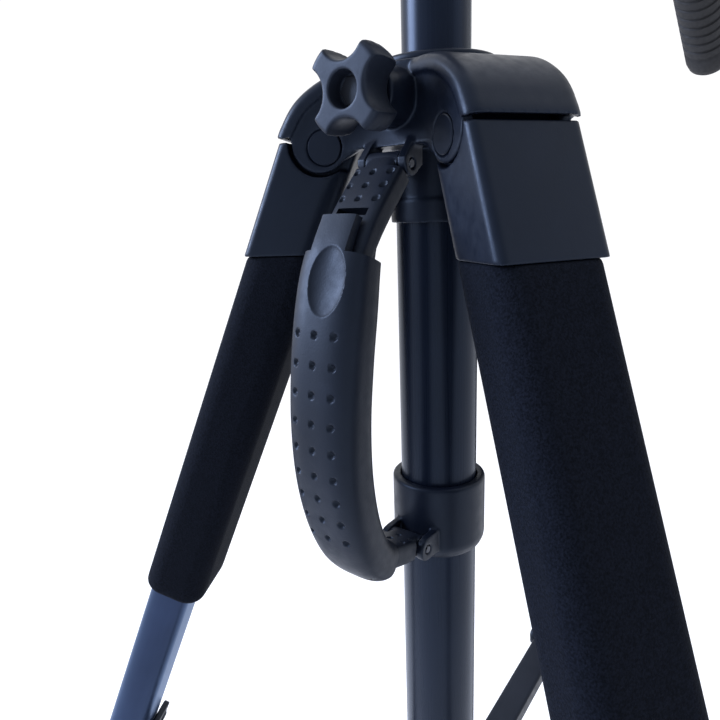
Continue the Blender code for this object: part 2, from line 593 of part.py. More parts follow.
def make_head(top):
    base = turned([(0.0001, GAP), (0.0290, GAP), (0.0300, 0.0015), (0.0300, 0.0120), (0.0290, 0.0135),
                   (0.0001, 0.0135)], 32)
    holder = part("head_base", base, "head_metal", top)
    boolean(holder, [rod(0.0070, -0.01, 0.03, 24)])

    pan = empty("pan_frame", top)
    housing = part("pan_housing", rod(0.0270, 0.0138, 0.0360, 32), "head_metal", pan)
    neck = box((-0.0180, -0.0150, 0.0300), (0.0180, 0.0150, TILT_Z))
    drum = rod(0.0210, -0.0215, 0.0215, 28, "X", (0, 0, TILT_Z))
    boolean(housing, [neck, drum], "UNION")
    boolean(housing, [rod(0.0040, -0.05, 0.05, 20, "X", (0, 0, TILT_Z))])
    knob_frame = empty("pan_lock_frame", pan, (-0.0270, 0, 0.0250))
    knob = rod(0.0080, -0.0180, -0.0034, 16, "X")
    lock = part("pan_lock_knob", knob, "knob_plastic", knob_frame)
    boolean(lock, [rod(0.0025, -0.0060, -0.0003, 12, "X")], "UNION")

    tilt = empty("tilt_frame", pan, (0, 0, TILT_Z))
    plate = box((-0.0270, -0.0440, 0.0240), (0.0270, 0.0440, 0.0315))
    platform = part("tilt_platform", plate, "head_metal", tilt)
    cheeks = []
    for side in (-1, 1):
        outline = arc((0, 0), 0.0200, 180, 360, 16) + [(0.0200, 0.0280), (-0.0200, 0.0280)]
        low, high = sorted((side * 0.0218, side * 0.0290))
        cheeks.append(slab(outline, low, high, "YZ"))
    axle = rod(0.0036, -0.0230, 0.0230, 20, "X")
    rails = []
    for side in (-1, 1):
        rail = [(0.0244, 0.0300), (0.0244, 0.0345), (0.0220, 0.0374), (0.0220, 0.0381), (0.0270, 0.0381),
                (0.0270, 0.0300)]
        rails.append(slab([(side * x, z) for x, z in rail], -0.0300, 0.0300))
    boolean(platform, cheeks + [axle] + rails, "UNION")
    boolean(platform, [rod(0.0040, 0.0, 0.05, 16, "Z")])

    slide = empty("plate_frame", tilt, (0, 0, 0.0318))
    half = [(0.0240, 0.0), (0.0240, 0.0025), (0.0216, 0.0054), (0.0216, 0.0066), (0.0250, 0.0066),
            (0.0250, 0.0096)]
    quick = half + [(-x, z) for x, z in reversed(half)]
    quick_plate = part("quick_release_plate", slab(quick, -0.0330, 0.0330), "rubber", slide)
    boolean(quick_plate, [rod(0.0046, -0.01, 0.02, 20), rod(0.0086, -0.01, 0.0040, 24)])
    screw = turned([(0.0, 0.0004), (0.0080, 0.0004), (0.0080, 0.0034), (0.0031, 0.0040), (0.0031, 0.0140),
                    (0.0, 0.0146)], 20)
    bmesh.ops.remove_doubles(screw, verts=screw.verts, dist=1e-7)
    part("camera_screw", screw, "steel", slide)

    lever = empty("pan_handle_frame", tilt, (0.0293, 0, 0), (-HANDLE_ANGLE, 0, 0))
    boss = part("pan_handle", rod(0.0110, 0.0, 0.0130, 32, "X"), "head_metal", lever)
    boolean(boss, [rod(0.0050, 0.0060, 0.3050, 20, "Y", (0.0065, 0, 0))], "UNION")
    sleeve = turned([(0.0053, 0.190), (0.0115, 0.191), (0.0125, 0.200), (0.0125, 0.300), (0.0105, 0.309),
                     (0.0001, 0.309), (0.0001, 0.3053), (0.0053, 0.3053)], 24, "Y", (0.0065, 0, 0))
    bmesh.ops.remove_doubles(sleeve, verts=sleeve.verts, dist=2e-4)
    part("pan_handle_grip", sleeve, "rubber", lever)
    lock_frame = empty("tilt_lock_frame", tilt, (-0.0293, 0, 0))
    knob = part("tilt_lock_knob", rod(0.0130, -0.0200, -0.0040, 12, "X"), "knob_plastic", lock_frame)
    boolean(knob, [rod(0.0060, -0.0050, 0.0, 16, "X")], "UNION")


def build():
    clear_scene()
    hub = empty("tripod_axis", location=(0, AXIS_Y, CROWN_TOP))
    make_crown(hub)
    make_bushing(hub)
    make_guide_tube(hub)
    make_lock_knob(hub)
    make_handle(hub)
    make_hub(hub)
    for side, azimuth in ARMS.items():
        make_leg(hub, side, azimuth)
    top = empty("column_top", hub, (0, 0, COLUMN_TOP))
    make_column(top)
    make_head(top)
    bpy.context.view_layer.update()


build()
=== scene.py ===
"""The looks of the tripod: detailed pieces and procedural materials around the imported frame."""
import itertools
import json
import math

import bmesh
import bpy
from mathutils import Matrix, Vector


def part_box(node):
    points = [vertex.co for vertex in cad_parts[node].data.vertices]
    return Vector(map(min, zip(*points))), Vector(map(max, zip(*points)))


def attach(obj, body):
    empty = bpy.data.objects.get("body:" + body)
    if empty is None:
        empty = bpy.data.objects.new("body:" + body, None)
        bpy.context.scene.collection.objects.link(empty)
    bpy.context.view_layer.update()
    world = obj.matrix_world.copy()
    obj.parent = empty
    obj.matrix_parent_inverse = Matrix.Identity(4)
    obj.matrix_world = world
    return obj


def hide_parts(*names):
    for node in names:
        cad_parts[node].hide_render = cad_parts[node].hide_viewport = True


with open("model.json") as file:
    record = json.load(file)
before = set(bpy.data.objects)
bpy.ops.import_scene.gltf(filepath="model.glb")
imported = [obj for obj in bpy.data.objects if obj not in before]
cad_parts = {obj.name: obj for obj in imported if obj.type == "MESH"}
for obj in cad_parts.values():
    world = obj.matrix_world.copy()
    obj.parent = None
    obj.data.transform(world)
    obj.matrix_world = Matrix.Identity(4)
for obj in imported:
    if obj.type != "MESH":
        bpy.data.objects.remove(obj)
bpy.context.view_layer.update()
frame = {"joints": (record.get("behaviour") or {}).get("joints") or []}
JOINTS = {joint["name"]: joint for joint in frame["joints"]}
SIDES = {"left": -150.0, "right": -30.0, "rear": 90.0}

# ---- places, read from the frame ----
AXIS = Vector(JOINTS["pan"]["pos_m"])
CROWN_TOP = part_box("top_bushing")[1][2]
COLUMN_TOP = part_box("centre_column")[1][2] - CROWN_TOP
COLUMN_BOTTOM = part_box("centre_column")[0][2] - CROWN_TOP
GUIDE_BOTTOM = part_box("guide_tube")[0][2] - CROWN_TOP
PIVOT = Vector(JOINTS["leg_rear_fold"]["pos_m"])
PIVOT_R = PIVOT.y - AXIS.y
PIVOT_DROP = PIVOT.z - CROWN_TOP
SPREAD = math.radians(22.6)
LEVEL = math.tan(SPREAD)

# ---- sizes, in metres ----
COLUMN_R = 0.0120
GUIDE_R = 0.0150
FLANGE_R = 0.0208
SKIRT_R = 0.0168
ARM_HALF = 0.0194
SLOT_HALF = 0.0148
YOKE_WIDTH, YOKE_DEPTH = 0.0382, 0.0262
PIN_R, PIN_CAP_R = 0.0030, 0.00575
SEAM_Z = -0.0640
FOAM_END = 0.197
LEG_MID, FOAM_MID = 0.0045, 0.0026
UPPER_TUBE = (0.0310, 0.0180)
MIDDLE_TUBE = (0.0270, 0.0135)
LOWER_TUBE = (0.0230, 0.0098)
UPPER_END, MIDDLE_END = 0.461, 0.841
MIDDLE_START, LOWER_START, LOWER_END = 0.395, 0.775, 1.195
LOCK_LENGTH = 0.050
BRACKET_S, BRACKET_N = 0.305, -0.025
HUB_PIVOT_R = 0.036
STRUT_HALF = 0.0072
STRUT_SLOPE = math.radians(9.5)
KNOB_Z = -0.0143
KNOB_R, KNOB_FLUTE_AT, KNOB_FLUTE_R = 0.0144, 0.0170, 0.0088
COLLAR_R, COLLAR_TOP, COLLAR_BOTTOM = 0.0185, -0.1535, -0.1835
UPPER_LUG, LOWER_LUG = (-0.0300, -0.0350), (-0.0235, -0.1745)
HANDLE_ANGLE = math.radians(32)
LUG_BORE_R = 0.0018
GAP = 0.0003

# ---- light and camera ----
# painted reflection colour: a blue specular tint on plastic, tube and foam, standing in for cool light in
# their reflections
PAINTED_BLUE_REFLECTION = (0.58, 0.74, 1.0, 1.0)
COOL_LIGHT = (0.66, 0.76, 1.0)
BRIGHT_SIDE = Vector((-0.70, 0.65, 0.30)).normalized()
EYE_REACH, EYE_DROP = 0.23585, -0.04655
EYE_AZIMUTH, EYE_YAW = math.radians(31.59), math.radians(7.398)
EYE_PITCH, EYE_ROLL = math.radians(14.211), math.radians(-2.158)
FOCAL = 31.0

HUB = Matrix.Translation((AXIS.x, AXIS.y, CROWN_TOP))
TOP = HUB @ Matrix.Translation((0, 0, COLUMN_TOP))
TILT = Matrix.Translation(JOINTS["tilt"]["pos_m"])


def spin(degrees, axis="Z"):
    return Matrix.Rotation(math.radians(degrees), 4, axis)


def arm_frame(side):
    """X outwards along the arm, origin on the crown's axis at its top."""
    return HUB @ spin(SIDES[side])


# ---- mesh tools ----
def loft(rings, closed=False):
    """Skin rings of equal point counts; the ends are capped unless closed."""
    shape = bmesh.new()
    rows = [[shape.verts.new(point) for point in ring] for ring in rings]
    pairs = list(zip(rows, rows[1:]))
    if closed:
        pairs.append((rows[-1], rows[0]))
    for low, high in pairs:
        for i in range(len(low)):
            j = (i + 1) % len(low)
            shape.faces.new((low[i], low[j], high[j], high[i]))
    if not closed:
        shape.faces.new(rows[0])
        shape.faces.new(rows[-1])
    return shape


def placed(shape, axis="Z", centre=(0, 0, 0)):
    """Turn +Z to the named axis, then move to the centre."""
    turn = {
        "X": Matrix.Rotation(math.pi / 2, 4, "Y"),
        "Y": Matrix.Rotation(-math.pi / 2, 4, "X"),
        "Z": Matrix.Identity(4),
    }[axis]
    bmesh.ops.transform(shape, matrix=Matrix.Translation(centre) @ turn, verts=shape.verts)
    return shape


def moved(shape, matrix):
    bmesh.ops.transform(shape, matrix=matrix, verts=shape.verts)
    return shape


def circle(radius, height, sides):
    return [(radius * math.cos(2 * math.pi * i / sides), radius * math.sin(2 * math.pi * i / sides), height)
            for i in range(sides)]


def turned(profile, sides=96, axis="Z", centre=(0, 0, 0), closed=True):
    """Turn a (radius, height) outline; a closed outline makes a ring."""
    rings = [circle(radius, height, sides) for radius, height in profile]
    return placed(loft(rings, closed), axis, centre)


def solid(profile, sides=96, axis="Z", centre=(0, 0, 0)):
    """Turn an open (radius, height) outline and cap its ends."""
    return turned(profile, sides, axis, centre, closed=False)


def rod(radius, low, high, sides=64, axis="Z", centre=(0, 0, 0), chamfer=0.0):
    profile = [(radius - chamfer, low), (radius, low + chamfer), (radius, high - chamfer),
               (radius - chamfer, high)] if chamfer else [(radius, low), (radius, high)]
    return solid(profile, sides, axis, centre)


def slab(outline, low, high, plane="XZ"):
    """Extrude an outline between two distances across its plane."""
    lift = {
        "XZ": lambda u, v, w: (u, w, v),
        "YZ": lambda u, v, w: (w, u, v),
        "XY": lambda u, v, w: (u, v, w),
    }[plane]
    return loft([[lift(u, v, w) for u, v in outline] for w in (low, high)])


def twins(outline, near, far, plane="XZ"):
    """The same slab on both sides of the middle plane."""
    return [slab(outline, *sorted((side * near, side * far)), plane) for side in (-1, 1)]


def block(low, high):
    outline = [(low[0], low[1]), (high[0], low[1]), (high[0], high[1]), (low[0], high[1])]
    return slab(outline, low[2], high[2], "XY")


def arc(centre, radius, start, end, steps):
    points = []
    for i in range(steps + 1):
        angle = math.radians(start + (end - start) * i / steps)
        points.append((centre[0] + radius * math.cos(angle), centre[1] + radius * math.sin(angle)))
    return points


def rounded(width, depth, corner, steps=8, inner=None):
    """A rounded rectangle, width along Y and depth along X; inner is the -X corners' radius."""
    points = []
    for sx, sy, start in ((1, 1, 0), (-1, 1, 90), (-1, -1, 180), (1, -1, 270)):
        radius = corner if sx > 0 or inner is None else inner
        centre = (sx * (depth / 2 - radius), sy * (width / 2 - radius))
        points += arc(centre, radius, start, start + 90, steps)
    return points


def across_leg(width, depth, corner, mid, stations, steps=8, inner=None):
    """Rings across the leg; a station is (s, slope, grow), and slope tips the ring."""
    rings = []
    for s, slope, grow in stations:
        small = None if inner is None else inner + grow / 2
        outline = rounded(width + grow, depth + grow, corner + grow / 2, steps, small)
        rings.append([(mid + n, t, -(s + (mid + n) * slope)) for n, t in outline])
    return rings


def bore(section, stations, steps=10):
    """A clearance hole for an oval tube."""
    width, depth = section
    return across_leg(width + 2 * GAP, depth + 2 * GAP, depth * 0.48, LEG_MID, stations, steps)


def seam_s(z):
    """Distance along the leg where a level plane crosses the hinge line."""
    return (PIVOT_DROP - z) / math.cos(SPREAD)


def curve(points, count):
    """A smooth (Catmull-Rom) run through points of any dimension."""
    rows = [Vector(point) for point in points]
    rows = [rows[0] * 2 - rows[1]] + rows + [rows[-1] * 2 - rows[-2]]
    result = []
    spans = len(rows) - 3
    for k in range(count):
        position = k * spans / (count - 1)
        i = min(int(position), spans - 1)
        t = position - i
        a, b, c, d = rows[i:i + 4]
        result.append(0.5 * ((2 * b) + (c - a) * t + (2 * a - 5 * b + 4 * c - d) * t * t
                             + (3 * b - a - 3 * c + d) * t ** 3))
    return result


def mesh_of(name, shape, sharp=35):
    bmesh.ops.recalc_face_normals(shape, faces=shape.faces)
    mesh = bpy.data.meshes.new(name)
    shape.to_mesh(mesh)
    shape.free()
    mesh.shade_smooth()
    mesh.set_sharp_from_angle(angle=math.radians(sharp))
    return mesh


def linked(name, data):
    made = bpy.data.objects.new(name, data)
    bpy.context.scene.collection.objects.link(made)
    return made


def baked(thing):
    """The object's modifiers applied to its mesh."""
    bpy.context.view_layer.update()
    graph = bpy.context.evaluated_depsgraph_get()
    mesh = bpy.data.meshes.new_from_object(thing.evaluated_get(graph))
    thing.modifiers.clear()
    thing.data = mesh
    return thing


def sculpted(name, base, joins=(), cuts=(), voxel=0.0, relax=0):
    """Join and cut closed shapes; with a voxel size every edge is softened too."""
    made = linked(name, mesh_of(name, base))
    tools = []
    for operation, shapes in (("UNION", joins), ("DIFFERENCE", cuts)):
        for shape in shapes:
            tool = linked(f"{name}_tool", mesh_of(f"{name}_tool", shape))
            step = made.modifiers.new(operation, "BOOLEAN")
            step.object, step.operation, step.solver = tool, operation, "EXACT"
            tools.append(tool)
    if voxel:
        remesh = made.modifiers.new("remesh", "REMESH")
        remesh.mode, remesh.voxel_size = "VOXEL", voxel
        soften = made.modifiers.new("soften", "SMOOTH")
        soften.factor, soften.iterations = 0.5, relax
    baked(made)
    for tool in tools:
        bpy.data.objects.remove(tool, do_unlink=True)
    made.data.shade_smooth()
    if not voxel:
        made.data.set_sharp_from_angle(angle=math.radians(35))
    return made


def bevelled(thing, width):
    step = thing.modifiers.new("edge", "BEVEL")
    step.width, step.segments = width, 2
    step.limit_method, step.angle_limit = "ANGLE", math.radians(35)
    baked(thing)
    thing.data.shade_smooth()
    thing.data.set_sharp_from_angle(angle=math.radians(50))


def finish(thing, matrix, body, nodes, look, surface=None):
    """Place a piece, give it its material and its body, and hide its CAD nodes."""
    thing.matrix_world = matrix
    thing.data.materials.clear()
    thing.data.materials.append(LOOKS[surface or look])
    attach(thing, body)
    if nodes:
        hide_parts(*nodes)
    return thing


def simple(name, shape, matrix, body, nodes, look, sharp=35, surface=None):
    thing = linked(name, mesh_of(name, shape, sharp))
    return finish(thing, matrix, body, nodes, look, surface)


# ---- materials ----
class Nodes:
    """A small helper that builds one node material."""

    def __init__(self, name, roughness, metallic=0.0, **sockets):
        self.material = bpy.data.materials.new(name)
        self.material.use_nodes = True
        self.tree = self.material.node_tree
        self.shader = self.tree.nodes["Principled BSDF"]
        self.shader.inputs["Roughness"].default_value = roughness
        self.shader.inputs["Metallic"].default_value = metallic
        for socket, value in sockets.items():
            self.shader.inputs[socket.replace("_", " ")].default_value = value
        self.place = self.add("TexCoord").outputs["Object"]

    def add(self, kind):
        return self.tree.nodes.new("ShaderNode" + kind)

    def link(self, output, socket):
        self.tree.links.new(output, socket)

    def stretched(self, scale):
        mapping = self.add("Mapping")
        mapping.inputs["Scale"].default_value = scale
        self.link(self.place, mapping.inputs["Vector"])
        return mapping.outputs["Vector"]

    def noise(self, scale, detail=3.0, stretch=None):
        made = self.add("TexNoise")
        made.inputs["Scale"].default_value = scale
        made.inputs["Detail"].default_value = detail
        self.link(self.stretched(stretch) if stretch else self.place, made.inputs["Vector"])
        return made.outputs["Fac"]

    def cells(self, scale):
        made = self.add("TexVoronoi")
        made.inputs["Scale"].default_value = scale
        self.link(self.place, made.inputs["Vector"])
        return made.outputs["Distance"]

    def ramp(self, value, low, high, start=0.3, end=0.7):
        made = self.add("ValToRGB")
        made.color_ramp.elements[0].position, made.color_ramp.elements[1].position = start, end
        made.color_ramp.elements[0].color = (*low, 1)
        made.color_ramp.elements[1].color = (*high, 1)
        self.link(value, made.inputs["Fac"])
        return made.outputs["Color"]

    def spread(self, value, low, high):
        made = self.add("MapRange")
        for socket, number in (("From Min", 0.3), ("From Max", 0.7), ("To Min", low), ("To Max", high)):
            made.inputs[socket].default_value = number
        self.link(value, made.inputs["Value"])
        return made.outputs["Result"]

    def colour(self, output):
        self.link(output, self.shader.inputs["Base Color"])

    def roughness(self, output):
        self.link(output, self.shader.inputs["Roughness"])

    def bump(self, height, strength, distance, after=None):
        made = self.add("Bump")
        made.inputs["Strength"].default_value = strength
        made.inputs["Distance"].default_value = distance
        self.link(height, made.inputs["Height"])
        if after:
            self.link(after, made.inputs["Normal"])
        self.link(made.outputs["Normal"], self.shader.inputs["Normal"])
        return made.outputs["Normal"]


def shade(colour, factor):
    return tuple(c * factor for c in colour)


def moulded(name, colour, roughness, grain=1800.0, depth=0.00006, strength=0.35):
    """Spark-eroded moulded plastic: fine grain, soft clouding, slightly uneven gloss."""
    # the blue specular tint is a painted reflection colour, standing in for cool light
    look = Nodes(name, roughness, Specular_IOR_Level=0.25, Specular_Tint=PAINTED_BLUE_REFLECTION)
    cloud = look.noise(55.0, 4.0)
    look.colour(look.ramp(cloud, shade(colour, 0.86), shade(colour, 1.16)))
    look.roughness(look.spread(look.noise(260.0, 3.0), roughness - 0.05, roughness + 0.07))
    broad = look.bump(look.noise(95.0, 2.0), 0.10, 0.0004)
    look.bump(look.noise(grain, 2.0), strength, depth, broad)
    return look.material


def anodised(name, colour, roughness, metallic=0.85):
    """Drawn and anodised tube: faint lengthways lines and clouding."""
    # the blue specular tint is a painted reflection colour, standing in for cool light
    look = Nodes(name, roughness, metallic, Specular_IOR_Level=0.24, Specular_Tint=PAINTED_BLUE_REFLECTION)
    look.colour(look.ramp(look.noise(30.0, 3.0), shade(colour, 0.88), shade(colour, 1.15)))
    lines = look.noise(900.0, 2.0, stretch=(1.0, 1.0, 0.012))
    look.roughness(look.spread(lines, roughness - 0.02, roughness + 0.04))
    look.bump(lines, 0.04, 0.00002)
    return look.material


def foamed(name, colour):
    """Closed-cell foam: open pores over a soft, uneven skin."""
    # the blue specular tint is a painted reflection colour, standing in for cool light
    look = Nodes(name, 0.95, Specular_IOR_Level=0.10, Specular_Tint=PAINTED_BLUE_REFLECTION)
    look.colour(look.ramp(look.noise(1500.0, 3.0), shade(colour, 0.55), shade(colour, 1.5), 0.35, 0.65))
    broad = look.bump(look.noise(220.0, 3.0), 0.25, 0.0003)
    look.bump(look.cells(1700.0), 0.55, 0.00022, broad)
    return look.material


def rubbery(name, colour, roughness):
    look = Nodes(name, roughness, Specular_IOR_Level=0.30)
    look.colour(look.ramp(look.noise(80.0, 4.0), shade(colour, 0.8), shade(colour, 1.25)))
    look.roughness(look.spread(look.noise(500.0, 2.0), roughness - 0.08, roughness + 0.06))
    look.bump(look.noise(1400.0, 3.0), 0.4, 0.00008)
    return look.material


def turned_steel(name, colour):
    look = Nodes(name, 0.3, 1.0)
    look.colour(look.ramp(look.noise(60.0, 3.0), shade(colour, 0.85), shade(colour, 1.1)))
    rings = look.noise(1500.0, 2.0, stretch=(0.05, 1.0, 1.0))
    look.roughness(look.spread(rings, 0.22, 0.38))
    look.bump(rings, 0.15, 0.00003)
    return look.material


def painted(name, colour, roughness):
    """Powder paint on cast metal: orange-peel grain."""
    look = Nodes(name, roughness, Coat_Weight=0.1, Coat_Roughness=0.4)
    look.colour(look.ramp(look.noise(50.0, 3.0), shade(colour, 0.85), shade(colour, 1.15)))
    look.roughness(look.spread(look.noise(300.0, 2.0), roughness - 0.05, roughness + 0.05))
    look.bump(look.noise(1100.0, 2.0), 0.45, 0.00008)
    return look.material


LOOKS = {name: maker(f"{name}_look", *values) for name, maker, *values in (
    ("crown_plastic", moulded, (0.0040, 0.0060, 0.0125), 0.40),
    ("yoke_plastic", moulded, (0.0036, 0.0056, 0.0120), 0.40),
    ("soft_plastic", moulded, (0.0048, 0.0068, 0.0130), 0.46, 1500.0, 0.00008, 0.45),
    ("knob_plastic", moulded, (0.0085, 0.0110, 0.0185), 0.46),
    ("lever_plastic", moulded, (0.0100, 0.0110, 0.0150), 0.42),
    ("column_metal", anodised, (0.0050, 0.0080, 0.0170), 0.27, 0.12),
    ("leg_metal", anodised, (0.0220, 0.0340, 0.0720), 0.34, 0.65),
    ("foam", foamed, (0.0038, 0.0048, 0.0085)),
    ("rubber", rubbery, (0.0100, 0.0105, 0.0125), 0.70),
    ("steel", turned_steel, (0.55, 0.56, 0.58)),
    ("dark_steel", turned_steel, (0.050, 0.056, 0.070)),
    ("head_metal", painted, (0.0120, 0.0130, 0.0170), 0.42),
)}


# ---- crown ----
HOOD_POINTS = [(0.0125, -0.0030), (0.0220, -0.0030), (0.0285, -0.0036), (0.0340, -0.0048),
               (0.0380, -0.0063), (0.0415, -0.0082), (0.0447, -0.0104), (0.0475, -0.0129),
               (0.0500, -0.0160), (0.0520, -0.0193), (0.0535, -0.0220), (0.0543, -0.0240)]
HOOD_INNER = [(0.0520, -0.0240), (0.0490, -0.0185), (0.0455, -0.0150), (0.0400, -0.0118),
              (0.0330, -0.0095), (0.0235, -0.0090)]
EAR_CENTRE, EAR_R = (0.0389, -0.0265), 0.0098
HOOD = curve(HOOD_POINTS, 60)
NICHE_HALF = ARM_HALF - 0.0010
ROLL = 0.0042


def arm_body():
    """The arm's box under its hood, ending in the round ear."""
    outline = [(r - 0.0008, z - 0.0006) for r, z in HOOD[:-1]] + [(EAR_CENTRE[0] + EAR_R, -0.0240)]
    outline += arc(EAR_CENTRE, EAR_R, 0, -140, 32) + [(0.0240, -0.0286), (0.0125, -0.0286)]
    return slab(outline, -NICHE_HALF, NICHE_HALF)


def hood_shell():
    """The hood over an arm: its top rolls over to both sides and ends in a narrow rim."""
    rim = []
    for k, (r, z) in enumerate(HOOD):
        before, after = Vector(HOOD[max(k - 1, 0)]), Vector(HOOD[min(k + 1, len(HOOD) - 1)])
        along = (after - before).normalized()
        rim.append(Vector((along.y, -along.x)))
    stations = []
    for k in range(7):
        angle = math.pi / 2 * k / 6
        stations.append((ARM_HALF - ROLL * (1 - math.sin(angle)), ROLL * 0.75 * (1 - math.cos(angle))))
    thick = 0.0022 + ROLL * 0.75
    rings = []
    for half, sink in [(-w, d) for w, d in reversed(stations)] + stations:
        outer = [(r + n.x * sink, half, z + n.y * sink) for (r, z), n in zip(HOOD, rim)]
        inner = [(r + n.x * thick, half, z + n.y * thick) for (r, z), n in zip(HOOD, rim)]
        inner[-1] = (0.0487, half, HOOD[-1][1])
        rings.append(outer + inner[::-1])
    return loft(rings)


def pin_seat():
    seat_r, depth, bore_r = PIN_CAP_R + 0.00035, NICHE_HALF - 0.0011, PIN_R + GAP
    return solid([(seat_r, -0.03), (seat_r, -depth), (bore_r, -depth), (bore_r, depth), (seat_r, depth),
                  (seat_r, 0.03)], 64, "Y", (PIVOT_R, 0, PIVOT_DROP))


def niche_fill():
    """The scooped wall between two arms, flaring forward to a lip at its foot."""
    rings = []
    corner = -NICHE_HALF / math.cos(math.radians(30))
    for k in range(13):
        share = k / 12
        reach = 0.0140 + 0.0168 * share ** 0.8
        x = reach * math.cos(math.radians(30)) - NICHE_HALF / 2
        y = -reach / 2 - NICHE_HALF * math.cos(math.radians(30))
        front = corner - 0.0004 - 0.0070 * share ** 1.7
        sag = front - y
        radius = (x * x + sag * sag) / (2 * sag)
        half = math.degrees(math.asin(x / radius))
        ring = [(0.0, -0.0080), (0.0100, -0.0110)]
        ring += arc((0, front - radius), radius, 90 - half, 90 + half, 24)
        ring += [(-0.0100, -0.0110)]
        rings.append([(u, v, -0.0036 - 0.0256 * share) for u, v in ring])
    return loft(rings)


def lug_bore(lug):
    return rod(LUG_BORE_R, -0.03, 0.03, 32, "X", (0, *lug))


def make_crown():
    core = turned([(0.0120, -0.0032), (0.0120, -0.0540), (SKIRT_R, -0.0540), (SKIRT_R, -0.0462),
                   (SKIRT_R - 0.0006, -0.0456), (SKIRT_R - 0.0006, -0.0290), (0.0262, -0.0290),
                   (0.0262, -0.0032)], 128)
    slot = HOOD_INNER + [(0.0235, -0.0400), (0.0700, -0.0400), (0.0700, -0.0241)]
    joins, cuts = [], []
    for azimuth in SIDES.values():
        joins += [moved(shape, spin(azimuth)) for shape in (arm_body(), hood_shell())]
        cuts += [moved(shape, spin(azimuth)) for shape in (slab(slot, -SLOT_HALF, SLOT_HALF), pin_seat())]
    crown = sculpted("crown_body", core, joins, cuts)
    fills = [moved(niche_fill(), spin(angle)) for angle in (0, 120, -120)]
    boss = solid([(0.0092, 0.020), (0.0088, 0.0340), (0.0082, 0.0384)], 48, "Y", (0, 0, KNOB_Z))
    fills.append(moved(boss, spin(180)))
    lug = [(-0.0240, -0.0270), (-0.0240, -0.0355)] + arc(UPPER_LUG, 0.0040, -60, -180, 16)
    lug += [(-0.0340, -0.0330), (-0.0285, -0.0270)]
    fills += twins(lug, 0.0064, 0.0095, "YZ")
    shape = bmesh.new()
    shape.from_mesh(crown.data)
    bpy.data.objects.remove(crown, do_unlink=True)
    cuts = [rod(0.0152, -0.10, 0.01, 128), rod(0.0033, -0.06, 0.0, 32, "Y", (0, 0, KNOB_Z)),
            lug_bore(UPPER_LUG)]
    crown = sculpted("crown_casting", shape, fills, cuts, voxel=0.00050, relax=5)
    finish(crown, HUB, "frame", ["crown"], "crown_plastic")


def make_column_parts():
    profile = [(0.0122, -0.0004), (0.0122, -0.0265), (0.0149, -0.0265), (0.0149, -0.0027),
               (FLANGE_R - 0.0003, -0.0027), (FLANGE_R, -0.0023), (FLANGE_R, -0.0009),
               (FLANGE_R - 0.0004, -0.0003), (FLANGE_R - 0.0012, 0.0), (0.0128, 0.0)]
    simple("bushing_flange", turned(profile, 128), HUB, "frame", ["top_bushing"], "crown_plastic", sharp=50)
    inner = COLUMN_R - 0.0013
    low, top = COLUMN_BOTTOM, COLUMN_TOP
    profile = [(inner, low), (COLUMN_R - 0.0004, low), (COLUMN_R, low + 0.0004), (COLUMN_R, top - 0.0095),
               (0.0130, top - 0.0088), (0.0222, top - 0.0074), (0.0230, top - 0.0066), (0.0230, top - 0.0004),
               (0.0226, top), (inner, top)]
    simple("column_tube", turned(profile, 128), HUB, "column", ["centre_column"], "column_metal", sharp=40)
    low = GUIDE_BOTTOM
    profile = [(GUIDE_R - 0.0016, -0.0270), (GUIDE_R - 0.0016, low), (GUIDE_R - 0.0003, low),
               (GUIDE_R, low + 0.0003), (GUIDE_R, -0.0270)]
    simple("guide_tube_outer", turned(profile, 128), HUB, "frame", ["guide_tube"], "column_metal")
    cap = turned([(0.0060, low + 0.004), (0.0060, low - 0.0001), (GUIDE_R - 0.0019, low - 0.0001),
                  (GUIDE_R - 0.0019, low + 0.004)], 64)
    simple("guide_tube_plug", cap, HUB, "frame", [], "lever_plastic", sharp=40)


def lobe_radius(angle):
    """The knob's outline: four blunt lobes with round flutes between."""
    turn = math.pi / 2
    off = angle - turn * round(angle / turn)
    inside = KNOB_FLUTE_R ** 2 - (KNOB_FLUTE_AT * math.sin(off)) ** 2
    if inside <= 0:
        return KNOB_R
    return min(KNOB_R, KNOB_FLUTE_AT * math.cos(off) - math.sqrt(inside))


def make_lock_knob():
    rows = [(0.0, 0.45), (0.0, 0.78), (0.0006, 0.87), (0.0018, 0.93), (0.0045, 0.975), (0.0085, 1.0),
            (0.0115, 0.99), (0.0125, 0.965), (0.0130, 0.93), (0.0132, 0.88), (0.0132, 0.45)]
    sides = 160
    rings = []
    for depth, scale in rows:
        ring = []
        for i in range(sides):
            angle = 2 * math.pi * i / sides
            radius = lobe_radius(angle) * scale
            ring.append((radius * math.sin(angle), -0.0388 - depth, KNOB_Z + radius * math.cos(angle)))
        rings.append(ring)
    centre = (0, 0, KNOB_Z)
    hole = solid([(0.0050, 0.0), (0.0053, 0.0050), (0.0055, 0.0054), (0.0060, 0.0062)], 64, "Y")
    moved(hole, Matrix.Translation((0, -0.0466, KNOB_Z)) @ spin(180, "X"))
    knob = sculpted("knob_head", loft(rings), [], [hole], voxel=0.00032, relax=5)
    finish(knob, HUB, "column_lock", ["column_lock_knob"], "knob_plastic")
    screw = rod(0.0029, -0.0470, -0.0155, 32, "Y", centre, 0.0003)
    simple("knob_screw", screw, HUB, "column_lock", [], "steel")
    nut = solid([(0.0044, -0.0474), (0.0047, -0.0471), (0.0047, -0.0462)], 6, "Y", centre)
    simple("knob_insert", nut, HUB, "column_lock", [], "lever_plastic")


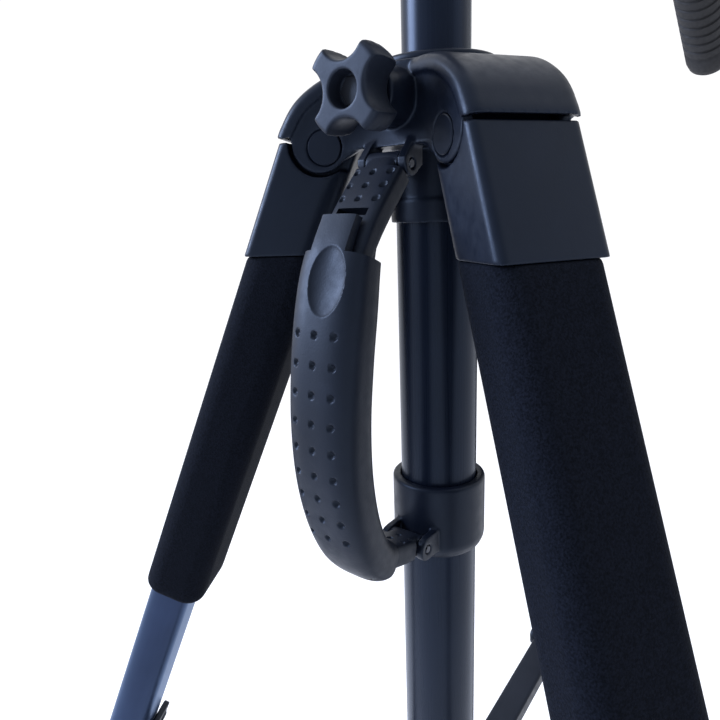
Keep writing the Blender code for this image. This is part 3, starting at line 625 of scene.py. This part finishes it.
# ---- carrying handle ----
GRIP_PATH = [((-0.0500, -0.0520), 0.0218, 0.0130), ((-0.0556, -0.0650), 0.0246, 0.0166),
             ((-0.0590, -0.0780), 0.0260, 0.0180), ((-0.0620, -0.0940), 0.0262, 0.0182),
             ((-0.0640, -0.1120), 0.0260, 0.0180), ((-0.0638, -0.1300), 0.0256, 0.0178),
             ((-0.0610, -0.1460), 0.0250, 0.0172), ((-0.0560, -0.1590), 0.0240, 0.0165),
             ((-0.0500, -0.1665), 0.0225, 0.0155), ((-0.0450, -0.1695), 0.0210, 0.0145)]


def soft_corner(angle, width, depth, power):
    """A point on a soft-cornered outline (a superellipse)."""
    c, s = math.cos(angle), math.sin(angle)
    return (math.copysign(abs(c) ** (2 / power), c) * width,
            math.copysign(abs(s) ** (2 / power), s) * depth)


def even_angles(width, depth, sides, power):
    """Angles that step evenly along a soft-cornered outline."""
    fine = 2400
    lengths, last = [0.0], None
    for i in range(fine + 1):
        point = Vector(soft_corner(2 * math.pi * i / fine, width, depth, power))
        if last is not None:
            lengths.append(lengths[-1] + (point - last).length)
        last = point
    angles, i = [], 0
    for k in range(sides):
        while lengths[i + 1] < lengths[-1] * k / sides:
            i += 1
        angles.append(2 * math.pi * i / fine)
    return angles


def strap(path, count, sides, power, dent=None):
    """A soft-cornered bar along a path in the YZ plane; dent(x, y, z) pushes its outer face in."""
    rows = curve([(*point, width, depth) for point, width, depth in path], count)
    rings = []
    angles = even_angles(path[len(path) // 2][1], path[len(path) // 2][2], sides, power)
    for k, row in enumerate(rows):
        before, after = rows[max(k - 1, 0)], rows[min(k + 1, count - 1)]
        along = Vector((after[0] - before[0], after[1] - before[1])).normalized()
        across = Vector((-along.y, along.x))
        if across.x > 0:
            across = -across
        ring = []
        for angle in angles:
            v, u = soft_corner(angle, row[2] / 2, row[3] / 2, power)
            spot = Vector((row[0], row[1])) + across * u
            if dent and u > 0:
                spot -= across * dent(v, spot.y)
            ring.append((v, spot.x, spot.y))
        rings.append(ring)
    return loft(rings)


def bowl(distance, radius, depth):
    """Depth of a round-bottomed dent at a distance from its centre."""
    return depth * max(0.0, 1 - (distance / radius) ** 2) ** 0.7


GRIP_ROWS = [-0.0840, -0.0930, -0.1020, -0.1110, -0.1195, -0.1280, -0.1360, -0.1440, -0.1515]
THUMB = (0.0020, -0.0685)


def grip_dent(x, z):
    thumb = math.hypot((x - THUMB[0]) / 0.0066, (z - THUMB[1]) / 0.0102)
    depth = bowl(thumb, 1.0, 0.0019)
    nearest = min(GRIP_ROWS, key=lambda row: abs(row - z))
    for column in (-0.0072, 0.0, 0.0072):
        depth = max(depth, bowl(math.hypot(x - column, z - nearest), 0.00125, 0.0011))
    return depth


def make_handle():
    mouth_top = [((-0.0410, -0.0440), 0.0196, 0.0100), ((-0.0508, -0.0570), 0.0194, 0.0104),
                 ((-0.0540, -0.0640), 0.0190, 0.0106), ((-0.0552, -0.0676), 0.0184, 0.0100)]
    mouth_low = [((-0.0350, -0.1715), 0.0176, 0.0112), ((-0.0460, -0.1690), 0.0176, 0.0116),
                 ((-0.0545, -0.1655), 0.0176, 0.0120)]
    shoulder = [(-0.0750, -0.0545), (-0.0300, -0.0725), (-0.0300, -0.0400), (-0.0750, -0.0400)]
    cuts = twins(shoulder, 0.0066, 0.0200, "YZ") + [strap(path, 12, 48, 5) for path in (mouth_top, mouth_low)]
    grip = sculpted("grip_shell", strap(GRIP_PATH, 420, 240, 3.0, grip_dent), [], cuts)
    finish(grip, HUB, "carry_grip", ["handle_grip"], "soft_plastic")
    grip.data.set_sharp_from_angle(angle=math.radians(45))

    def link_dent(x, z):
        depth = 0.0
        for row in (-0.0372, -0.0412, -0.0452):
            for column in (-0.0066, 0.0, 0.0066):
                depth = max(depth, bowl(math.hypot(x - column, (z - row) * 1.35), 0.0012, 0.0010))
        return depth

    slot = moved(block((-0.0060, -0.0020, -0.0014), (0.0060, 0.0050, 0.0014)),
                 Matrix.Translation((0, -0.0502, -0.0486)) @ spin(-40, "X"))
    neck = [((-0.0300, -0.0350), 0.0122, 0.0080), ((-0.0338, -0.0388), 0.0122, 0.0082)]
    body = [((-0.0334, -0.0384), 0.0186, 0.0084), ((-0.0390, -0.0440), 0.0186, 0.0086),
            ((-0.0450, -0.0502), 0.0186, 0.0086), ((-0.0500, -0.0562), 0.0184, 0.0084),
            ((-0.0545, -0.0632), 0.0178, 0.0078)]
    link = sculpted("upper_link_body", strap(body, 160, 160, 5, link_dent),
                    [strap(neck, 6, 48, 5), rod(0.0041, -0.0061, 0.0061, 48, "X", (0, *UPPER_LUG))],
                    [lug_bore(UPPER_LUG), slot])
    finish(link, HUB, "carry_link", ["handle_upper_link"], "soft_plastic")

    neck = [((-0.0235, -0.1745), 0.0128, 0.0082), ((-0.0300, -0.1730), 0.0128, 0.0084)]
    body = [((-0.0296, -0.1731), 0.0164, 0.0086), ((-0.0360, -0.1716), 0.0162, 0.0088),
            ((-0.0420, -0.1700), 0.0160, 0.0086), ((-0.0462, -0.1686), 0.0156, 0.0080)]
    pits = []
    for row in (-0.0290, -0.0345, -0.0400):
        middle = LOWER_LUG[1] - (row - LOWER_LUG[0]) * 0.24
        for spot in itertools.product((-0.0055, 0.0, 0.0055), (row,), (middle - 0.0048, middle + 0.0048)):
            pit = bmesh.new()
            bmesh.ops.create_uvsphere(pit, u_segments=16, v_segments=10, radius=0.0014)
            pits.append(moved(pit, Matrix.Translation(spot)))
    link = sculpted("lower_link_body", strap(body, 30, 64, 5),
                    [strap(neck, 6, 48, 5), rod(0.0041, -0.0065, 0.0065, 48, "X", (0, *LOWER_LUG))],
                    pits + [lug_bore(LOWER_LUG)])
    finish(link, HUB, "frame", ["handle_lower_link"], "soft_plastic")

    collar = turned([(GUIDE_R + GAP, COLLAR_TOP), (GUIDE_R + GAP, COLLAR_BOTTOM),
                     (COLLAR_R - 0.0024, COLLAR_BOTTOM), (COLLAR_R - 0.0012, COLLAR_BOTTOM + 0.0016),
                     (COLLAR_R - 0.0003, COLLAR_BOTTOM + 0.0036), (COLLAR_R, COLLAR_BOTTOM + 0.0052),
                     (COLLAR_R, COLLAR_TOP - 0.0010), (COLLAR_R - 0.0003, COLLAR_TOP - 0.0003),
                     (COLLAR_R - 0.0010, COLLAR_TOP)], 128)
    lug = [(-0.0160, -0.1698), (-0.0160, -0.1792)] + arc(LOWER_LUG, 0.0045, -90, -270, 16)
    collar = sculpted("collar_ring", collar, twins(lug, 0.0069, 0.0098, "YZ"), [lug_bore(LOWER_LUG)],
                      0.00050, 2)
    finish(collar, HUB, "frame", ["handle_collar"], "crown_plastic")
    for name, half, lug in (("handle_upper_pin", 0.0094, UPPER_LUG),
                            ("handle_lower_pin", 0.0098, LOWER_LUG)):
        pin = rod(0.0015, -half, half, 32, "X", (0, *lug), 0.0003)
        simple(f"{name}_turned", pin, HUB, "frame", [name], "steel", surface="dark_steel")


# ---- legs ----
def make_yoke_mesh():
    """The leg's top casting, crisp along its outer ridges."""
    top, seam = seam_s(-0.0257), seam_s(SEAM_Z)
    ends = [(top, LEVEL, 0.0), (seam, LEVEL, 0.0)]
    upper, lower = across_leg(YOKE_WIDTH, YOKE_DEPTH, 0.0030, FOAM_MID, ends, 10, 0.0075)
    rows = [[Vector(a).lerp(Vector(b), k / 5) for a, b in zip(upper, lower)] for k in range(6)]
    tongue = [(-0.0095, -0.0220)] + arc((0, 0), 0.0088, 200, 20, 24) + [(0.0120, -0.0240)]
    plug = across_leg(0.0282, 0.0152, 0.0070, LEG_MID, [(seam - 0.004, LEVEL, 0), (0.072, 0, 0)])
    half = SLOT_HALF - 0.0004
    ear, around = (EAR_CENTRE[0] - PIVOT_R, EAR_CENTRE[1] - PIVOT_DROP), EAR_R + 0.0013
    pocket = [(ear[0] + around, 0.0300)] + arc(ear, around, 0, -125, 40)
    pocket += [(-0.0300, -0.0108), (-0.0300, 0.0300)]
    cuts = twins(pocket, half, 0.0300) + [block((-0.0300, -0.0300, -0.0080), (-0.0122, 0.0300, 0.0300))]
    for cut in cuts:
        moved(cut, Matrix.Rotation(SPREAD, 4, "Y"))
    cuts.append(rod(PIN_R + GAP, -0.03, 0.03, 48, "Y"))
    return sculpted("yoke_casting", loft(rows), [slab(tongue, -half, half), loft(plug)], cuts, 0.00050, 4)


def make_foam_mesh():
    """Foam sleeve: rolled lower lip, level top."""
    seam = seam_s(SEAM_Z) + GAP
    stations = [(seam, LEVEL, -0.0012), (seam + 0.0006, LEVEL, -0.0004), (seam + 0.0016, LEVEL, 0)]
    body_top, body_end = seam + 0.010, FOAM_END - 0.0060
    for k in range(24):
        share = k / 23
        stations.append((body_top + (body_end - body_top) * share, LEVEL * max(0.0, 1 - share * 3), 0.0))
    lip = 0.0040
    for k in range(1, 9):
        angle = math.pi / 2 * k / 8
        stations.append((body_end + 0.002 + lip * math.sin(angle), 0, -2 * lip * (1 - math.cos(angle))))
    outer = across_leg(YOKE_WIDTH + 0.0002, YOKE_DEPTH, 0.0085, FOAM_MID, stations, 12)
    inner = bore(UPPER_TUBE, [(FOAM_END - 0.0010, 0, 0), (seam, LEVEL, 0)], 12)
    return mesh_of("foam_sleeve", loft(outer + inner, closed=True), 60)


def tube_mesh(name, section, span, slope=0.0):
    width, depth = section
    wall = 0.0011
    ends = [(span[0], slope, 0), (span[1], 0.0, 0)]
    outer = across_leg(width, depth, depth * 0.48, LEG_MID, ends, 16)
    inner = across_leg(width - 2 * wall, depth - 2 * wall, (depth - 2 * wall) * 0.48, LEG_MID, ends, 16)
    return mesh_of(name, loft([outer[0], outer[1], inner[1], inner[0]], closed=True), 50)


def lock_mesh(name, s, outer_tube, inner_tube):
    width, depth = outer_tube
    top = s - LOCK_LENGTH
    wall = 0.0033
    stations = [(0.0, -0.0016), (0.0008, -0.0004), (0.002, 0), (0.021, 0), (0.0215, -0.0008),
                (0.0225, -0.0008), (0.023, 0), (0.047, 0), (0.0492, -0.0014), (LOCK_LENGTH, -0.0024)]
    rings = across_leg(width + 2 * wall, depth + 2 * wall, depth * 0.5, LEG_MID,
                       [(top + along, 0, grow) for along, grow in stations], 10)
    face = LEG_MID + depth / 2 + wall
    hinge = (face + 0.0040, 0, -(top + 0.010))
    lug = [(face - 0.003, -(top + 0.003)), (face - 0.003, -(top + 0.017))]
    lug += arc((hinge[0], hinge[2]), 0.0042, -60, 60, 12)
    socket = bore(outer_tube, [(top - 0.01, 0, 0), (top + 0.0165, 0, 0)])
    passage = bore(inner_tube, [(top, 0, 0), (s + 0.01, 0, 0)])
    split = block((LEG_MID, -0.0012, -(s + 0.01)), (face + 0.004, 0.0012, -(top + 0.030)))
    return sculpted(name, loft(rings), twins(lug, 0.0112, 0.0142),
                    [loft(socket), loft(passage), split, rod(0.0019, -0.02, 0.02, 24, "Y", hinge)],
                    0.00075, 2), Vector(hinge)


def lever_mesh():
    outline = arc((0, 0), 0.0036, 150, 10, 16)
    outline += [(0.0036, -0.004), (0.0029, -0.013), (0.0026, -0.022), (0.0033, -0.0280), (0.0046, -0.0330),
                (0.0064, -0.0365), (0.0086, -0.0390), (0.0081, -0.0399), (0.0070, -0.0402), (0.0042, -0.0380),
                (0.0018, -0.0350), (-0.0006, -0.0290), (-0.0014, -0.0240), (-0.0022, -0.006)]
    ribs = [rod(0.0006, -0.0075, 0.0075, 12, "Y", (0.0031 + 0.00022 * k, 0, -0.0200 - 0.0028 * k))
            for k in range(4)]
    return sculpted("lever_body", slab(outline, -0.0108, 0.0108),
                    [rod(0.0016, -0.0139, 0.0139, 32, "Y")] + ribs, [], 0.00042, 3)


def foot_mesh():
    floor_s = PIVOT.z / math.cos(SPREAD)
    width, depth = LOWER_TUBE
    stations = [(floor_s - 0.052, 0, -0.0012), (floor_s - 0.0512, 0, 0)]
    for k in range(5):
        s = floor_s - 0.048 + 0.0046 * k
        rib = ((0.0, 0.0002), (0.0006, 0.0014), (0.0026, 0.0014), (0.0032, 0.0002))
        stations += [(s + along, 0, grow) for along, grow in rib]
    flare = [(0.0235, 0, 0.0010), (0.0180, 0, 0.0092), (0.0140, LEVEL / 2, 0.0120), (0.0100, LEVEL, 0.0132),
             (0.0030, LEVEL, 0.0125), (0.0008, LEVEL, 0.0112), (0.0, LEVEL, 0.0092)]
    stations += [(floor_s - height, slope, grow) for height, slope, grow in flare]
    rings = across_leg(width + 0.0060, depth + 0.0060, depth * 0.62, LEG_MID, stations, 10)
    socket = bore(LOWER_TUBE, [(floor_s - 0.060, 0, 0), (LOWER_END + 0.0004, 0, 0)])
    return sculpted("foot_boot", loft(rings), [], [loft(socket)])


def bracket_mesh():
    face = LEG_MID - UPPER_TUBE[1] / 2 - GAP
    saddle = block((face - 0.003, -0.0145, -(BRACKET_S + 0.020)), (face, 0.0145, -(BRACKET_S - 0.020)))
    cheek = [(face - 0.002, -(BRACKET_S - 0.012)), (face - 0.002, -(BRACKET_S + 0.012))]
    cheek += arc((BRACKET_N, -BRACKET_S), 0.0058, -100, -260, 16)
    joins = twins(cheek, STRUT_HALF + 0.0005, 0.0105)
    for y, s in itertools.product((-0.0095, 0.0095), (BRACKET_S - 0.0155, BRACKET_S + 0.0155)):
        joins.append(rod(0.0020, face - 0.0040, face - 0.0020, 24, "X", (0, y, -s)))
    rivet = ((0.0018, -0.0115, 0.0115), (0.0030, -0.0119, -0.0103), (0.0030, 0.0103, 0.0119))
    joins += [rod(*sizes, 32, "Y", (BRACKET_N, 0, -BRACKET_S)) for sizes in rivet]
    return sculpted("bracket_body", saddle, joins, [], 0.00065, 2)


def strut_ends():
    """Radius and height of the strut's outer end, its length, and the hub pivot's height."""
    r = PIVOT_R + BRACKET_S * math.sin(SPREAD) + BRACKET_N * math.cos(SPREAD)
    z = PIVOT_DROP - BRACKET_S * math.cos(SPREAD) + BRACKET_N * math.sin(SPREAD)
    length = (r - HUB_PIVOT_R) / math.cos(STRUT_SLOPE)
    return r, z, length, z - length * math.sin(STRUT_SLOPE)


def strut_mesh():
    length, half = strut_ends()[2], 0.0040
    outline = arc((0, 0), half, 90, -90, 16) + arc((-length, 0), half, -90, -270, 16)
    channel = block((-length + 0.012, -STRUT_HALF + 0.0016, -0.0100), (-0.012, STRUT_HALF - 0.0016, 0.0018))
    return sculpted("strut_channel", slab(outline, -STRUT_HALF, STRUT_HALF), [],
                    [channel, rod(0.0018 + GAP, -0.02, 0.02, 24, "Y")], 0.00070, 2)


def make_hub():
    z = strut_ends()[3]
    ring = turned([(GUIDE_R + GAP, z + 0.010), (GUIDE_R + GAP, z - 0.010), (0.0190, z - 0.010),
                   (0.0200, z - 0.009), (0.0200, z + 0.009), (0.0190, z + 0.010)], 96)
    cheek = [(0.0175, z - 0.0075)] + arc((HUB_PIVOT_R, z), 0.0055, -90, 90, 16) + [(0.0175, z + 0.0075)]
    cheeks = []
    for azimuth in SIDES.values():
        shapes = twins(cheek, STRUT_HALF + 0.0005, 0.0105)
        for low, high in ((-0.0118, -0.0100), (0.0100, 0.0118)):
            shapes.append(rod(0.0030, low, high, 32, "Y", (HUB_PIVOT_R, 0, z)))
        cheeks += [moved(shape, spin(azimuth)) for shape in shapes]
    hub = sculpted("brace_hub_casting", ring, cheeks, [], 0.00075, 2)
    finish(hub, HUB, "brace_slider", ["brace_hub"], "lever_plastic")


def make_legs():
    start = seam_s(SEAM_Z) + GAP
    upper_lock, upper_hinge = lock_mesh("upper_lock", UPPER_END + 0.034, UPPER_TUBE, MIDDLE_TUBE)
    lower_lock, lower_hinge = lock_mesh("lower_lock", MIDDLE_END + 0.034, MIDDLE_TUBE, LOWER_TUBE)
    lever = lever_mesh()
    foam = linked("foam_sleeve", make_foam_mesh())
    upper = linked("upper", tube_mesh("upper_tube", UPPER_TUBE, (start, UPPER_END), LEVEL))
    middle = linked("middle", tube_mesh("middle_tube", MIDDLE_TUBE, (MIDDLE_START, MIDDLE_END)))
    lower = linked("lower", tube_mesh("lower_tube", LOWER_TUBE, (LOWER_START, LOWER_END)))
    r, z = strut_ends()[:2]
    strut_place = Matrix.Translation((r, 0, z)) @ Matrix.Rotation(-STRUT_SLOPE, 4, "Y")
    middle_of_arm = Matrix.Translation((PIVOT_R, 0, PIVOT_DROP))
    on_leg = middle_of_arm @ Matrix.Rotation(-SPREAD, 4, "Y")
    # the shared mesh, piece, place in the arm's frame, body, CAD node and look
    rows = [
        (make_yoke_mesh(), "yoke_casting", on_leg, "leg", "yoke", "yoke_plastic"),
        (foam, "foam_sleeve", on_leg, "leg", "foam_grip", "foam"),
        (upper, "upper_tube_oval", on_leg, "leg", "upper_tube", "leg_metal"),
        (middle, "middle_tube_oval", on_leg, "middle_leg", "middle_tube", "leg_metal"),
        (lower, "lower_tube_oval", on_leg, "lower_leg", "lower_tube", "leg_metal"),
        (upper_lock, "upper_lock_housing", on_leg, "leg", "upper_lock", "lever_plastic"),
        (lower_lock, "lower_lock_housing", on_leg, "middle_leg", "lower_lock", "lever_plastic"),
        (lever, "upper_lever_flap", on_leg @ Matrix.Translation(upper_hinge), "upper_latch", "upper_lever",
         "lever_plastic"),
        (lever, "lower_lever_flap", on_leg @ Matrix.Translation(lower_hinge), "lower_latch", "lower_lever",
         "lever_plastic"),
        (foot_mesh(), "foot_boot", on_leg, "lower_leg", "foot", "rubber"),
        (bracket_mesh(), "bracket_casting", on_leg, "leg", "brace_bracket", "lever_plastic"),
        (strut_mesh(), "strut_channel", strut_place, "strut", "brace_strut", "lever_plastic"),
    ]
    cap, face = PIN_CAP_R, NICHE_HALF + 0.0001
    profile = [(cap - 0.0003, -face), (cap, 0.0003 - face), (cap, 0.0010 - face), (PIN_R, 0.0010 - face),
               (PIN_R, face - 0.0010), (cap, face - 0.0010), (cap, face - 0.0003), (cap - 0.0003, face)]
    for side in SIDES:
        simple(f"pin_cap_{side}", solid(profile, 64, "Y"), arm_frame(side) @ middle_of_arm, "frame",
               [f"leg_pin_{side}"], "crown_plastic", sharp=30)
        for source, name, place, body, node, look in rows:
            copy = linked(f"{name}_{side}", source.data.copy())
            place = arm_frame(side) @ place
            if name == "foot_boot":
                # an unturned foot, so that its box is its true box
                copy.data.transform(place.to_3x3().to_4x4())
                place = Matrix.Translation(place.translation)
            finish(copy, place, f"{body}_{side}", [f"{node}_{side}"], look)
    for source in {row[0] for row in rows}:
        bpy.data.objects.remove(source, do_unlink=True)


# ---- fluid head ----
def fluted(radius, flute, count, low, high):
    """A round knob along X with shallow flutes around its rim."""
    sides, chamfer = count * 12, 0.0012
    rings = []
    for height, shrink in ((low, chamfer), (low + chamfer, 0.0), (high - chamfer, 0.0), (high, chamfer)):
        ring = []
        for i in range(sides):
            angle = 2 * math.pi * i / sides
            r = radius - shrink - flute * (0.5 + 0.5 * math.cos(count * angle)) ** 2
            ring.append((r * math.cos(angle), r * math.sin(angle), height))
        rings.append(ring)
    return placed(loft(rings), "X")


def make_head():
    base = turned([(0.0070, GAP), (0.0284, GAP), (0.0290, 0.0006), (0.0300, 0.0016), (0.0300, 0.0118),
                   (0.0290, 0.0133), (0.0284, 0.0135), (0.0070, 0.0135)], 128)
    simple("head_base_ring", base, TOP, "column", ["head_base"], "head_metal", sharp=30)
    tilt_z = TILT.translation.z - TOP.translation.z
    drum_centre = (0, 0, tilt_z)
    body = solid([(0.0264, 0.0138), (0.0270, 0.0144), (0.0270, 0.0180), (0.0266, 0.0184), (0.0266, 0.0196),
                  (0.0270, 0.0200), (0.0270, 0.0340), (0.0250, 0.0360)], 128)
    neck = loft([[(x, y, h) for x, y in rounded(2 * half_y, 2 * half_x, 0.005)]
                 for h, half_x, half_y in ((0.0300, 0.0215, 0.0185), (0.0370, 0.0200, 0.0168),
                                           (0.0480, 0.0182, 0.0152), (tilt_z, 0.0180, 0.0150))])
    drum = rod(0.0210, -0.0215, 0.0215, 96, "X", drum_centre, 0.0010)
    housing = sculpted("pan_body", body, [neck, drum], [rod(0.0040, -0.05, 0.05, 48, "X", drum_centre)],
                       0.00080, 2)
    finish(housing, TOP, "pan_unit", ["pan_housing"], "head_metal")
    for k in [*range(17), *range(20, 36)]:
        length = 0.0022 if k % 3 == 0 else 0.0013
        tick = block((-0.00018, -0.00012, 0.0), (0.00018, 0.00012, length))
        spot = spin(10 * k) @ Matrix.Translation((0, 0.0300, 0.0092))
        simple(f"pan_scale_tick_{k}", tick, TOP @ spot, "column", [], "steel")
    lock = Matrix.Translation(JOINTS["pan_lock_turn"]["pos_m"])
    knob = fluted(0.0080, 0.0008, 8, -0.0180, -0.0034)
    simple("pan_lock_head", knob, lock, "pan_lock", ["pan_lock_knob"], "knob_plastic", sharp=40)
    simple("pan_lock_stem", rod(0.0025, -0.0060, -0.0003, 32, "X"), lock, "pan_lock", [], "steel")

    plate_outline = rounded(0.0880, 0.0540, 0.0060, 8)
    plate = loft([[(x, y, h) for x, y in plate_outline] for h in (0.0240, 0.0315)])
    ear = arc((0, 0), 0.0200, 180, 360, 40) + [(0.0200, 0.0280), (-0.0200, 0.0280)]
    rail = [(0.0244, 0.0300), (0.0244, 0.0345), (0.0220, 0.0374), (0.0220, 0.0381), (0.0270, 0.0381),
            (0.0270, 0.0300)]
    joins = twins(ear, 0.0218, 0.0290, "YZ")
    joins += [slab([(side * x, z) for x, z in rail], -0.0300, 0.0300) for side in (-1, 1)]
    joins.append(rod(0.0036, -0.0230, 0.0230, 48, "X"))
    vial_y = 0.0385
    cuts = [rod(0.0150, -0.0300, -0.0284, 64, "X"), rod(0.0040, 0.0, 0.05, 48),
            rod(0.0053, 0.0285, 0.05, 48, "Z", (0, vial_y, 0))]
    platform = sculpted("tilt_cradle", plate, joins, cuts, 0.00075, 2)
    finish(platform, TILT, "tilt_unit", ["tilt_platform"], "head_metal")
    vial = solid([(0.0051, 0.0), (0.0051, 0.0014), (0.0045, 0.0019), (0.0020, 0.0022), (0.0002, 0.0023)], 48,
                 "Z", (0, vial_y, 0.0289))
    simple("bubble_level", vial, TILT, "tilt_unit", [], "steel", sharp=60)

    slide = TILT @ Matrix.Translation((0, 0, 0.0318))
    half = [(0.0240, 0.0), (0.0240, 0.0025), (0.0216, 0.0054), (0.0216, 0.0064), (0.0246, 0.0066),
            (0.0250, 0.0070), (0.0250, 0.0096)]
    outline = half + [(-x, z) for x, z in reversed(half)]
    grooves = []
    for k in range(-7, 8):
        if abs(k) > 1:
            y = 0.0042 * k
            grooves.append(block((-0.0215, y - 0.0007, 0.0091), (0.0215, y + 0.0007, 0.0200)))
    quick = sculpted("camera_plate_pad", slab(outline, -0.0330, 0.0330), [],
                     [rod(0.0046, -0.01, 0.02, 48), rod(0.0086, -0.01, 0.0040, 64)] + grooves)
    bevelled(quick, 0.0003)
    finish(quick, slide, "camera_plate", ["quick_release_plate"], "rubber")
    profile = [(0.0002, 0.0004), (0.0076, 0.0004), (0.0080, 0.0008), (0.0080, 0.0034), (0.0036, 0.0038)]
    for k in range(9):
        profile += [(0.0031, 0.0042 + 0.00105 * k), (0.0027, 0.0047 + 0.00105 * k)]
    profile += [(0.0031, 0.0138), (0.0026, 0.0144), (0.0002, 0.0146)]
    simple("camera_screw_turned", solid(profile, 64), slide, "camera_bolt", ["camera_screw"], "steel",
           sharp=30)

    lever = Matrix.Translation(JOINTS["pan_bar_angle"]["pos_m"]) @ Matrix.Rotation(-HANDLE_ANGLE, 4, "X")
    bar_middle = (0.0065, 0, 0)
    boss = solid([(0.0104, 0.0), (0.0110, 0.0006), (0.0110, 0.0120), (0.0100, 0.0130)], 96, "X")
    bar = rod(0.0050, 0.0060, 0.3050, 64, "Y", bar_middle)
    socket = solid([(0.0078, 0.0080), (0.0078, 0.0240), (0.0070, 0.0260), (0.0052, 0.0264)], 64, "Y",
                   bar_middle)
    handle = sculpted("pan_bar_rod", boss, [socket, bar])
    bevelled(handle, 0.0002)
    finish(handle, lever, "pan_bar", ["pan_handle"], "head_metal")
    profile = [(0.0053, 0.1900), (0.0105, 0.1903), (0.0113, 0.1912)]
    for k in range(15):
        y = 0.1985 + 0.0064 * k
        profile += [(0.0125, y), (0.0125, y + 0.0040), (0.0117, y + 0.0046), (0.0117, y + 0.0058)]
    profile += [(0.0125, 0.2950), (0.0125, 0.3030), (0.0117, 0.3068), (0.0105, 0.3084), (0.0070, 0.3090),
                (0.0002, 0.3090), (0.0002, 0.3053), (0.0053, 0.3053)]
    simple("pan_bar_grip", turned(profile, 64, "Y", bar_middle), lever, "pan_bar", ["pan_handle_grip"],
           "rubber", sharp=40)
    lock = Matrix.Translation(JOINTS["tilt_lock_turn"]["pos_m"])
    knob = fluted(0.0130, 0.0012, 10, -0.0200, -0.0040)
    simple("tilt_lock_head", knob, lock, "tilt_lock", ["tilt_lock_knob"], "knob_plastic", sharp=40)
    simple("tilt_lock_stem", rod(0.0060, -0.0050, -0.0001, 48, "X"), lock, "tilt_lock", [], "head_metal")


# ---- room, lights and camera ----
def make_room():
    """A wide pale floor under a pale sky that is brighter to one side."""
    floor = linked("studio_floor", mesh_of("studio_floor", rod(40.0, -0.0102, -0.0002, 96)))
    look = Nodes("floor_look", 0.9, Emission_Color=(0.95, 0.97, 1.0, 1), Emission_Strength=0.22)
    look.colour(look.ramp(look.noise(1.5, 2.0), (0.90, 0.90, 0.92), (0.93, 0.93, 0.95)))
    floor.data.materials.append(look.material)
    world = bpy.data.worlds.new("studio_world")
    world.use_nodes = True
    tree = world.node_tree
    direction = tree.nodes.new("ShaderNodeTexCoord").outputs["Generated"]
    facing = tree.nodes.new("ShaderNodeVectorMath")
    facing.operation = "DOT_PRODUCT"
    facing.inputs[1].default_value = BRIGHT_SIDE
    tree.links.new(direction, facing.inputs[0])
    ramp = tree.nodes.new("ShaderNodeValToRGB")
    ramp.color_ramp.elements[0].position, ramp.color_ramp.elements[1].position = 0.10, 0.62
    ramp.color_ramp.elements[0].color = (0.46, 0.48, 0.54, 1)
    ramp.color_ramp.elements[1].color = (1.0, 1.0, 1.02, 1)
    half = tree.nodes.new("ShaderNodeMapRange")
    half.inputs["From Min"].default_value, half.inputs["From Max"].default_value = -1.0, 1.0
    tree.links.new(facing.outputs["Value"], half.inputs["Value"])
    tree.links.new(half.outputs["Result"], ramp.inputs["Fac"])
    tree.links.new(ramp.outputs["Color"], tree.nodes["Background"].inputs["Color"])
    tree.nodes["Background"].inputs["Strength"].default_value = 1.05
    bpy.context.scene.world = world
    bpy.context.scene.view_settings.view_transform = "Standard"


def light(name, energy, size, reach):
    """A square cool lamp, placed from the crown and aimed just below it."""
    spot = HUB.translation + Vector(reach)
    aim = HUB.translation + Vector((0, 0, -0.1))
    data = bpy.data.lights.new(name, "AREA")
    data.energy, data.size, data.color = energy, size, COOL_LIGHT
    lamp = linked(name, data)
    lamp.location = spot
    lamp.rotation_euler = (aim - spot).to_track_quat("-Z", "Y").to_euler()


def make_camera():
    spot = Vector((EYE_REACH * math.sin(EYE_AZIMUTH), -EYE_REACH * math.cos(EYE_AZIMUTH), EYE_DROP))
    heading = math.atan2(-spot.y, -spot.x) + EYE_YAW
    forward = Vector((math.cos(heading) * math.cos(EYE_PITCH), math.sin(heading) * math.cos(EYE_PITCH),
                      -math.sin(EYE_PITCH)))
    right = forward.cross(Vector((0, 0, 1))).normalized()
    up = right.cross(forward)
    across = right * math.cos(EYE_ROLL) + up * math.sin(EYE_ROLL)
    above = up * math.cos(EYE_ROLL) - right * math.sin(EYE_ROLL)
    place = Matrix((across, above, -forward)).transposed().to_4x4()
    data = bpy.data.cameras.new("photo_camera")
    data.lens, data.sensor_width, data.clip_start = FOCAL, 36, 0.01
    camera = linked("photo_camera", data)
    camera.matrix_world = Matrix.Translation(HUB.translation + spot) @ place
    bpy.context.scene.camera = camera


make_room()
light("left_window", 60.0, 0.9, (-1.5, -1.0, 0.6))
light("top_soft", 9.0, 2.4, (-0.3, 0.4, 2.2))
light("right_soft", 2.5, 1.2, (1.9, 0.6, 0.3))
make_camera()
make_crown()
make_column_parts()
make_lock_knob()
make_handle()
make_legs()
make_hub()
make_head()
